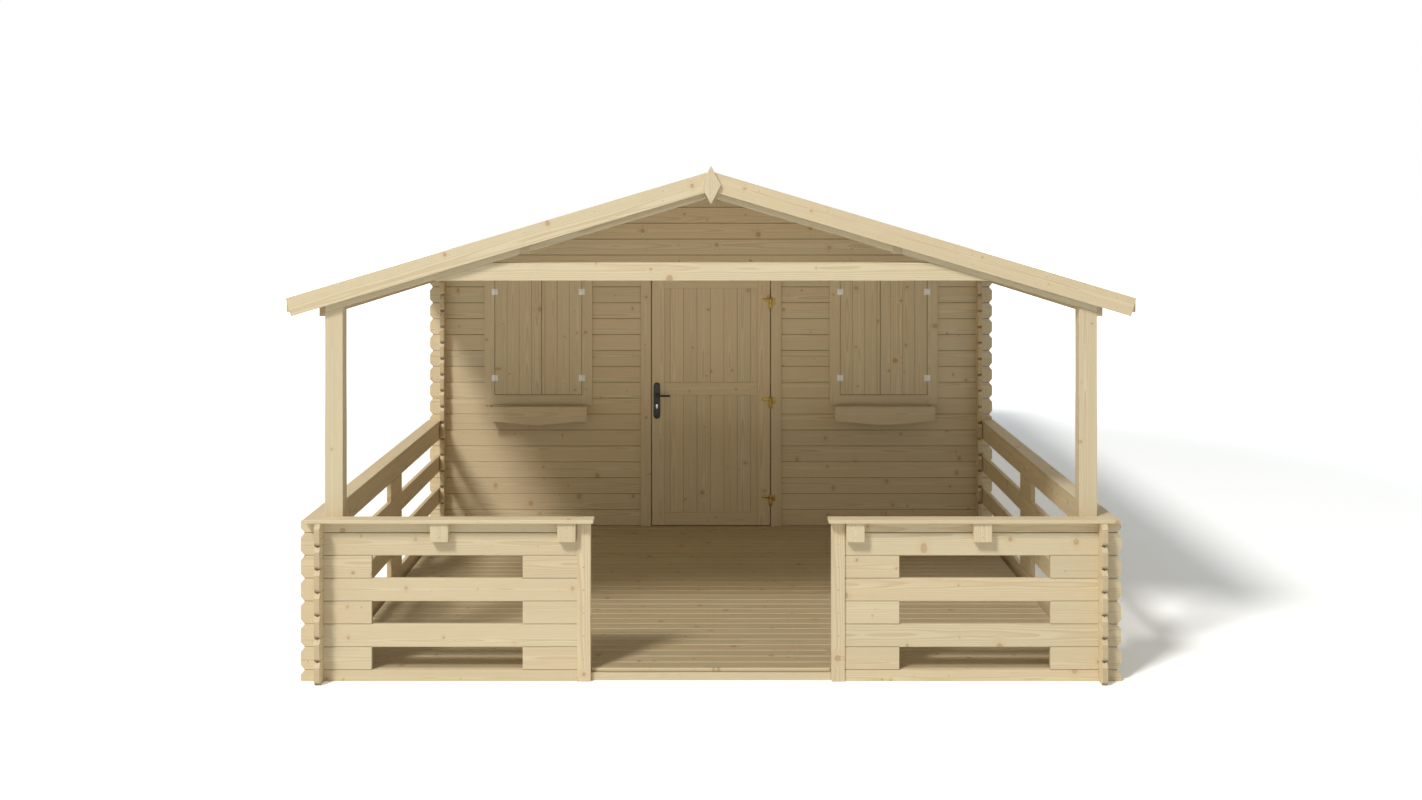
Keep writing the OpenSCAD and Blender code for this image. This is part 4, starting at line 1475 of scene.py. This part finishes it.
@dataclass
class Doorway(Assembly):
    """Door frame, leaf, hinges and lock.

    The leaf has two stiles, three rails of which the middle one's height is mid_rail_z, and boards,
    whose faces lie deeper than front_skin and rear_skin. hinge_t and lock_t are how far the hinges and
    the long plates stand out from the wood. The rest says where screws and nails lie: from a strap's
    left end, from a hinge plate's right edge and top, from a long plate's ends, and in the casing in
    rows on its sides and in pairs on its head.
    """

    stile_w: float = 91 * MM
    rail_h: float = 90 * MM
    mid_rail_z: float = 1.040
    board_w: float = 96 * MM
    board_offset: float = -4 * MM
    front_skin: float = 6 * MM
    rear_skin: float = 10 * MM
    casing_w: float = 73 * MM
    hinge_t: float = 3 * MM
    lock_t: float = 8 * MM
    strap_x: tuple[float, ...] = (14 * MM, 30 * MM, 46 * MM)
    plate_in: float = 9 * MM
    plate_down: tuple[float, float] = (9 * MM, 34 * MM)
    lock_in: float = 17 * MM
    row_inset: float = 60 * MM
    row_off: float = 20 * MM
    rows: int = 5
    head_x: tuple[float, ...] = (-0.44, -0.15, 0.15, 0.44)
    head_down: tuple[float, float] = (20 * MM, 53 * MM)

    def build(self) -> None:
        """Builds the doorway."""
        self.door_frame()
        self.leaf()
        self.fittings()
        self.fastenings()

    def door_frame(self) -> None:
        """Builds the casing and jambs."""
        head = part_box("door_leaf")[1].z
        lays = [
            Lay(Grain.ACROSS, holds=above(Z, head)),
            Lay(Grain.UPRIGHT, holds=below(X, 0), seams=((Z, head),)),
            Lay(Grain.UPRIGHT, seams=((Z, head),)),
        ]
        self.make(Timber("door_frame", lays))

    def leaf(self) -> None:
        """Builds the leaf: two stiles, three rails, and boards between."""
        low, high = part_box("door_leaf")
        stile = high.x - self.stile_w
        skin, back = low.y + self.front_skin, high.y - self.rear_skin
        half = self.rail_h / 2
        mid_low, mid_high = self.mid_rail_z - half, self.mid_rail_z + half
        bottom, top = low.z + self.rail_h, high.z - self.rail_h

        def on_rail(place: Vector) -> bool:
            """Tells if a place is on one of the three rails.

            Args:
                place: The place.

            Returns:
                Whether it is.
            """
            middle_rail = mid_low - MM < place.z < mid_high + MM
            on_face = place.y < skin or place.y > back
            return on_face and (middle_rail or place.z < bottom + MM or place.z > top - MM)

        ends = ((X, -stile), (X, stile))
        edges = tuple((Z, z) for z in (bottom, mid_low, mid_high, top))
        rails = [
            Lay(Grain.ACROSS, holds=lambda place, end=end: on_rail(place) and place.z < end, seams=ends)
            for end in ((bottom + mid_low) / 2, (mid_high + top) / 2, math.inf)
        ]
        lays = [
            Lay(Grain.UPRIGHT, holds=below(X, -stile)),
            Lay(Grain.UPRIGHT, holds=above(X, stile)),
            *rails,
            Lay(Grain.UPRIGHT, self.board_w, self.board_offset, X, seams=ends + edges),
        ]
        self.make(Timber("door_leaf", lays))

    def fittings(self) -> None:
        """Builds the hinges, the levers, the long plates and the lock cylinder."""
        *_, plates = self.make(
            Fitting("door_hinge_plates", "brass"),
            Fitting("door_hinge_straps", "brass"),
            Fitting("door_lever", "black_metal", ease=0.8 * MM),
            Fitting("door_handle_plates", "black_metal", ease=0.8 * MM),
        )
        with editing(plates):
            bpy.ops.mesh.select_all(action="SELECT")
            bpy.ops.mesh.separate(type="LOOSE")
        shares = list(bpy.context.selected_objects)
        lock = max(shares, key=lambda share: share.dimensions.y)
        lock.name = "lock_cylinder"
        self.finishes.coat(lock, "nickel")
        shares.remove(lock)
        join(shares, "long_plates")

    def fastenings(self) -> None:
        """Builds the screws of the hinges and the long plates, and the nails of the casing."""
        strap = Head("strap_screws", "zinc", radius=4.2 * MM, proud=1.0 * MM)
        self.fasten(strap, self.strap_seats(), "door")
        self.fasten(replace(strap, name="hinge_plate_screws"), self.plate_seats())
        black = Head("long_plate_screws", "black_metal", radius=4.2 * MM, proud=1.2 * MM)
        self.fasten(black, self.lock_seats(), "door", "black_metal")
        nails = Head("door_casing_nails", "zinc", radius=2.8 * MM, proud=0.3 * MM, socket=False)
        self.fasten(nails, self.casing_seats())

    def strap_seats(self) -> Iterator[Seat]:
        """Finds three screws on each strap.

        Yields:
            A seat for each screw.
        """
        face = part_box("door_leaf")[0].y - self.hinge_t
        for block, x in product(self.solids("door_hinge_straps"), self.strap_x):
            yield Seat(block[0].x + x, face, middle(block, Z))

    def plate_seats(self) -> Iterator[Seat]:
        """Finds two screws on each hinge plate.

        Yields:
            A seat for each screw.
        """
        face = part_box("door_frame")[0].y - self.hinge_t
        for (_, high), down in product(self.solids("door_hinge_plates"), self.plate_down):
            yield Seat(high.x - self.plate_in, face, high.z - down)

    def lock_seats(self) -> Iterator[Seat]:
        """Finds the screws at both ends of each long plate.

        Yields:
            A seat for each screw.
        """
        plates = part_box("door_handle_plates")
        front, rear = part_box("door_leaf")
        x = middle(plates, X)
        for z in (plates[0].z + self.lock_in, plates[1].z - self.lock_in):
            yield Seat(x, front.y - self.lock_t, z)
            yield Seat(x, rear.y + self.lock_t, z, Facing.REAR)

    def casing_seats(self) -> Iterator[Seat]:
        """Finds the nails of the casing.

        Yields:
            A seat for each nail.
        """
        low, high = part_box("door_frame")
        rows = evenly(low.z + self.row_inset, high.z - self.casing_w - self.row_inset, self.rows)
        for way, z, off in product((-1, 1), rows, (-self.row_off, self.row_off)):
            yield Seat(way * (high.x - self.casing_w / 2) + off, low.y, z)
        for x, down in product(self.head_x, self.head_down):
            yield Seat(x, low.y, high.z - down)


@dataclass
class Windows(Assembly):
    """Window frames, boarded leaves and flower boxes.

    Each window's inner leaf is inner_leaf wide, and its outer leaf's first joint lies outer_first
    from where the leaves meet. Painted shade darkens the faces in the gaps beside the leaves, from
    gap_start behind the front.
    The rest says where screws and nails lie: from a hinge's edges, in the casing in rows on its sides
    and at shares of its width on its head and sill, and from a flower box's ends and top.
    """

    casing_w: float = 73 * MM
    board_w: float = 87 * MM
    board_t: float = 22 * MM
    gap: float = 3 * MM
    inner_leaf: float = 288.5 * MM
    outer_first: float = 72 * MM
    box_board: float = 18 * MM
    gap_start: float = 5 * MM
    hinge_t: float = 3 * MM
    hinge_x: float = 7 * MM
    hinge_z: float = 8 * MM
    row_inset: float = 50 * MM
    row_x: tuple[float, float] = (17 * MM, 56 * MM)
    rows: int = 4
    cross_shares: tuple[float, ...] = (0.22, 0.50, 0.78)
    sill_up: float = 16 * MM
    head_down: float = 37 * MM
    box_in: float = 9 * MM
    box_down: tuple[float, float] = (18 * MM, 55 * MM)

    def build(self) -> None:
        """Builds both windows and flower boxes."""
        for side, way in SIDES:
            self.casing(side)
            self.leaves(side, way)
            self.flower_box(side)
        self.make(Fitting("window_hinges", "white_plastic", ease=0.8 * MM))
        screws = Head("window_hinge_screws", "white_plastic", radius=3.0 * MM)
        self.fasten(screws, self.hinge_seats(), slot="white_plastic")
        nails = Head("window_nails", "zinc", radius=2.8 * MM, proud=0.3 * MM, socket=False)
        self.fasten(nails, self.nail_seats())

    def casing(self, side: str) -> None:
        """Builds a window's frame.

        Args:
            side: Left or right.
        """
        low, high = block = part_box(f"{side}_window_frame")
        left, right = low.x + self.casing_w, high.x - self.casing_w
        butts = ((X, left), (X, right))
        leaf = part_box(f"{side}_window_leaves")

        def in_gap(place: Vector) -> bool:
            """Tells if a place is just under the faces that the leaves' edges stand opposite.

            Args:
                place: The place.

            Returns:
                Whether it is.
            """
            deep = low.y + self.gap_start < place.y < leaf[0].y + self.board_t
            near = min(abs(place[axis] - corner[axis]) for axis in (X, Z) for corner in leaf)
            return deep and near < 6 * MM

        lays = [
            # The frame's faces in the gaps round the leaves get painted shade.
            Lay(Grain.UPRIGHT, holds=in_gap, shade=GAP_SHADE),
            Lay(Grain.UPRIGHT, holds=below(X, left)),
            Lay(Grain.UPRIGHT, holds=above(X, right)),
            Lay(Grain.ACROSS, holds=below(Z, middle(block, Z)), seams=butts),
            Lay(Grain.ACROSS, seams=butts),
        ]
        self.make(Timber(f"{side}_window_frame", lays))

    def leaves(self, side: str, way: int) -> None:
        """Builds a window's two boarded leaves with their ledges.

        Args:
            side: Left or right.
            way: -1 for left, 1 for right.
        """
        low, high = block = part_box(f"{side}_window_leaves")
        inner, outer = sorted((abs(low.x), abs(high.x)))
        meet = inner - self.gap + self.inner_leaf
        behind = low.y + self.board_t + 0.5 * MM

        def at_edge(place: Vector) -> bool:
            """Tells if a place is just under the boards' outer edges or where the leaves meet.

            Args:
                place: The place.

            Returns:
                Whether it is.
            """
            deep = low.y + self.gap_start < place.y < behind
            beside = min(abs(abs(place.x) - x) for x in (inner, outer, meet)) < 4 * MM
            return deep and (beside or min(place.z - low.z, high.z - place.z) < 3 * MM)

        lays = [
            Lay(Grain.ACROSS, holds=lambda place: place.y > behind and place.z < middle(block, Z)),
            Lay(Grain.ACROSS, holds=above(Y, behind)),
            # The leaves' edges and meeting faces in the gaps get painted shade.
            Lay(Grain.UPRIGHT, holds=at_edge, shade=GAP_SHADE),
            Lay(Grain.UPRIGHT, self.board_w, way * inner, X, lambda place: abs(place.x) < meet),
            Lay(Grain.UPRIGHT, self.board_w, way * (meet + self.outer_first), X),
        ]
        self.make(Timber(f"{side}_window_leaves", lays))

    def flower_box(self, side: str) -> None:
        """Builds a flower box.

        Args:
            side: Left or right.
        """
        low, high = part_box(f"{side}_flower_box")
        b = self.box_board
        front = ((Y, low.y + b),)
        lays = [
            Lay(Grain.ACROSS, holds=below(Y, low.y + b)),
            Lay(Grain.ACROSS, holds=above(Y, high.y - b)),
            Lay(Grain.BACK, holds=below(X, low.x + b), seams=front),
            Lay(Grain.BACK, holds=above(X, high.x - b), seams=front),
            Lay(Grain.ACROSS),
        ]
        self.make(Timber(f"{side}_flower_box", lays))

    def hinge_seats(self) -> Iterator[Seat]:
        """Finds four screws on each window hinge.

        Yields:
            A seat for each screw.
        """
        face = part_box("right_window_leaves")[0].y - self.hinge_t
        for low, high in self.solids("window_hinges"):
            columns = (low.x + self.hinge_x, high.x - self.hinge_x)
            levels = (low.z + self.hinge_z, high.z - self.hinge_z)
            for x, z in product(columns, levels):
                yield Seat(x, face, z)

    def nail_seats(self) -> Iterator[Seat]:
        """Finds the nails of the casings and of the flower boxes' fronts.

        Yields:
            A seat for each nail.
        """
        for side, _ in SIDES:
            low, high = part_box(f"{side}_window_frame")
            rows = evenly(low.z + self.row_inset, high.z - self.row_inset, self.rows)
            for z, x, across in product(rows, (low.x, high.x - self.casing_w), self.row_x):
                yield Seat(x + across, low.y, z)
            levels = (low.z + self.sill_up, high.z - self.head_down)
            for share, z in product(self.cross_shares, levels):
                yield Seat(low.x + share * (high.x - low.x), low.y, z)
            low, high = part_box(f"{side}_flower_box")
            for x, down in product((low.x + self.box_in, high.x - self.box_in), self.box_down):
                yield Seat(x, low.y, high.z - down)


# --------------------------------------------------------------- light and view


@dataclass
class Stage:
    """Camera, sun, sky and a plain pale floor."""

    eye: Triple = (0.0, -11.935, 2.4234)
    lens: float = 40.7
    lens_shift: float = -0.144
    sensor: float = 36.0
    view_end: float = 300.0
    lamp_way: Triple = (0.61, 0.85, -1.0)
    lamp_aim: Triple = (0.0, -3.0, 1.0)
    lamp_far: float = 41.0
    lamp_light: float = 2.16
    lamp_width: float = math.radians(11)
    lamp_colour: Colour = (1.0, 0.98, 0.945)
    bounce_place: Triple = (0.0, -2.4, 0.72)
    bounce_size: tuple[float, float] = (1.6, 2.6)
    bounce_power: float = 8.0
    bounce_colour: Colour = (1.0, 0.94, 0.84)
    sky_colour: Colour = (0.93, 0.98, 1.0)
    sky_strength: float = 0.38
    floor_colour: Colour = (0.95, 0.95, 0.94)
    floor_seen: Colour = (1.43, 1.43, 1.43)
    floor_half: float = 60.0
    floor_fade: tuple[float, float] = (5.5, 11.0)

    def build(self) -> None:
        """Sets up the stage."""
        self.camera()
        self.key_lamp()
        self.bounce_lamp()
        self.sky()
        self.floor()
        bpy.context.scene.view_settings.view_transform = "Standard"

    def camera(self) -> None:
        """Adds a level camera in front of the entrance."""
        bpy.ops.object.camera_add(location=self.eye, rotation=(math.radians(90), 0, 0))
        camera = bpy.context.object
        camera.data.lens = self.lens
        camera.data.sensor_width = self.sensor
        camera.data.shift_y = self.lens_shift
        camera.data.clip_end = self.view_end
        bpy.context.scene.camera = camera

    def key_lamp(self) -> None:
        """Adds the main lamp: far off at the front left, round, as wide as lamp_width seems from here."""
        way = Vector(self.lamp_way).normalized()
        place = Vector(self.lamp_aim) - way * self.lamp_far
        turn = way.to_track_quat("-Z", "Y").to_euler()
        bpy.ops.object.light_add(type="AREA", location=place, rotation=turn)
        lamp = bpy.context.object.data
        lamp.shape = "DISK"
        lamp.size = 2 * self.lamp_far * math.tan(self.lamp_width / 2)
        lamp.energy = self.lamp_light * math.pi * self.lamp_far**2
        lamp.color = self.lamp_colour

    def bounce_lamp(self) -> None:
        """Adds a soft lamp low under the veranda roof, which shines up as the sunlit ground does."""
        bpy.ops.object.light_add(type="AREA", location=self.bounce_place, rotation=(math.pi, 0, 0))
        lamp = bpy.context.object
        lamp.data.shape = "RECTANGLE"
        lamp.data.size, lamp.data.size_y = self.bounce_size
        lamp.data.energy = self.bounce_power
        lamp.data.color = self.bounce_colour
        lamp.visible_camera = False

    def sky(self) -> None:
        """Lights the scene evenly, and shows white where it is seen."""
        world = bpy.data.worlds.new("sky")
        bpy.context.scene.world = world
        bench = Bench(world)
        fill, seen = (
            bench.node("ShaderNodeBackground", sockets={0: (*colour, 1.0), 1: strength}).outputs[0]
            for colour, strength in ((self.sky_colour, self.sky_strength), (WHITE, 1.0))
        )
        mix = bench.node("ShaderNodeMixShader", sockets={0: bench.seen(), 1: fill, 2: seen})
        bench.node("ShaderNodeOutputWorld", sockets={0: mix.outputs[0]})

    def floor(self) -> None:
        """Adds the floor, which glows white far from the shed where it is seen."""
        bpy.ops.mesh.primitive_plane_add(size=2 * self.floor_half)
        floor = bpy.context.object
        floor.name = "floor"
        bench = FinishBench("pale_floor")
        seen = bench.seen()
        x, y, _ = bench.parts(bench.place())
        far = bench.ramp(bench.maths("SQRT", x * x + y * y), *self.floor_fade)
        glow = bench.blend(seen, BLACK, bench.blend(far, BLACK, WHITE))
        bench.set(Base_Color=bench.blend(seen, self.floor_colour, self.floor_seen))
        bench.set(Emission_Color=glow, Emission_Strength=1.0)
        bench.set(Roughness=0.95, Specular_IOR_Level=0.0)
        floor.data.materials.append(bench.material)


def main() -> None:
    """Builds the shed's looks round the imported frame."""
    logging.basicConfig(level=logging.INFO, format="%(message)s")
    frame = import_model()
    finishes = Finishes()
    Stage().build()
    for part in (Walls, Roof, Deck, Railing, Doorway, Windows):
        part(frame, finishes).build()


if __name__ == "__main__":
    main()
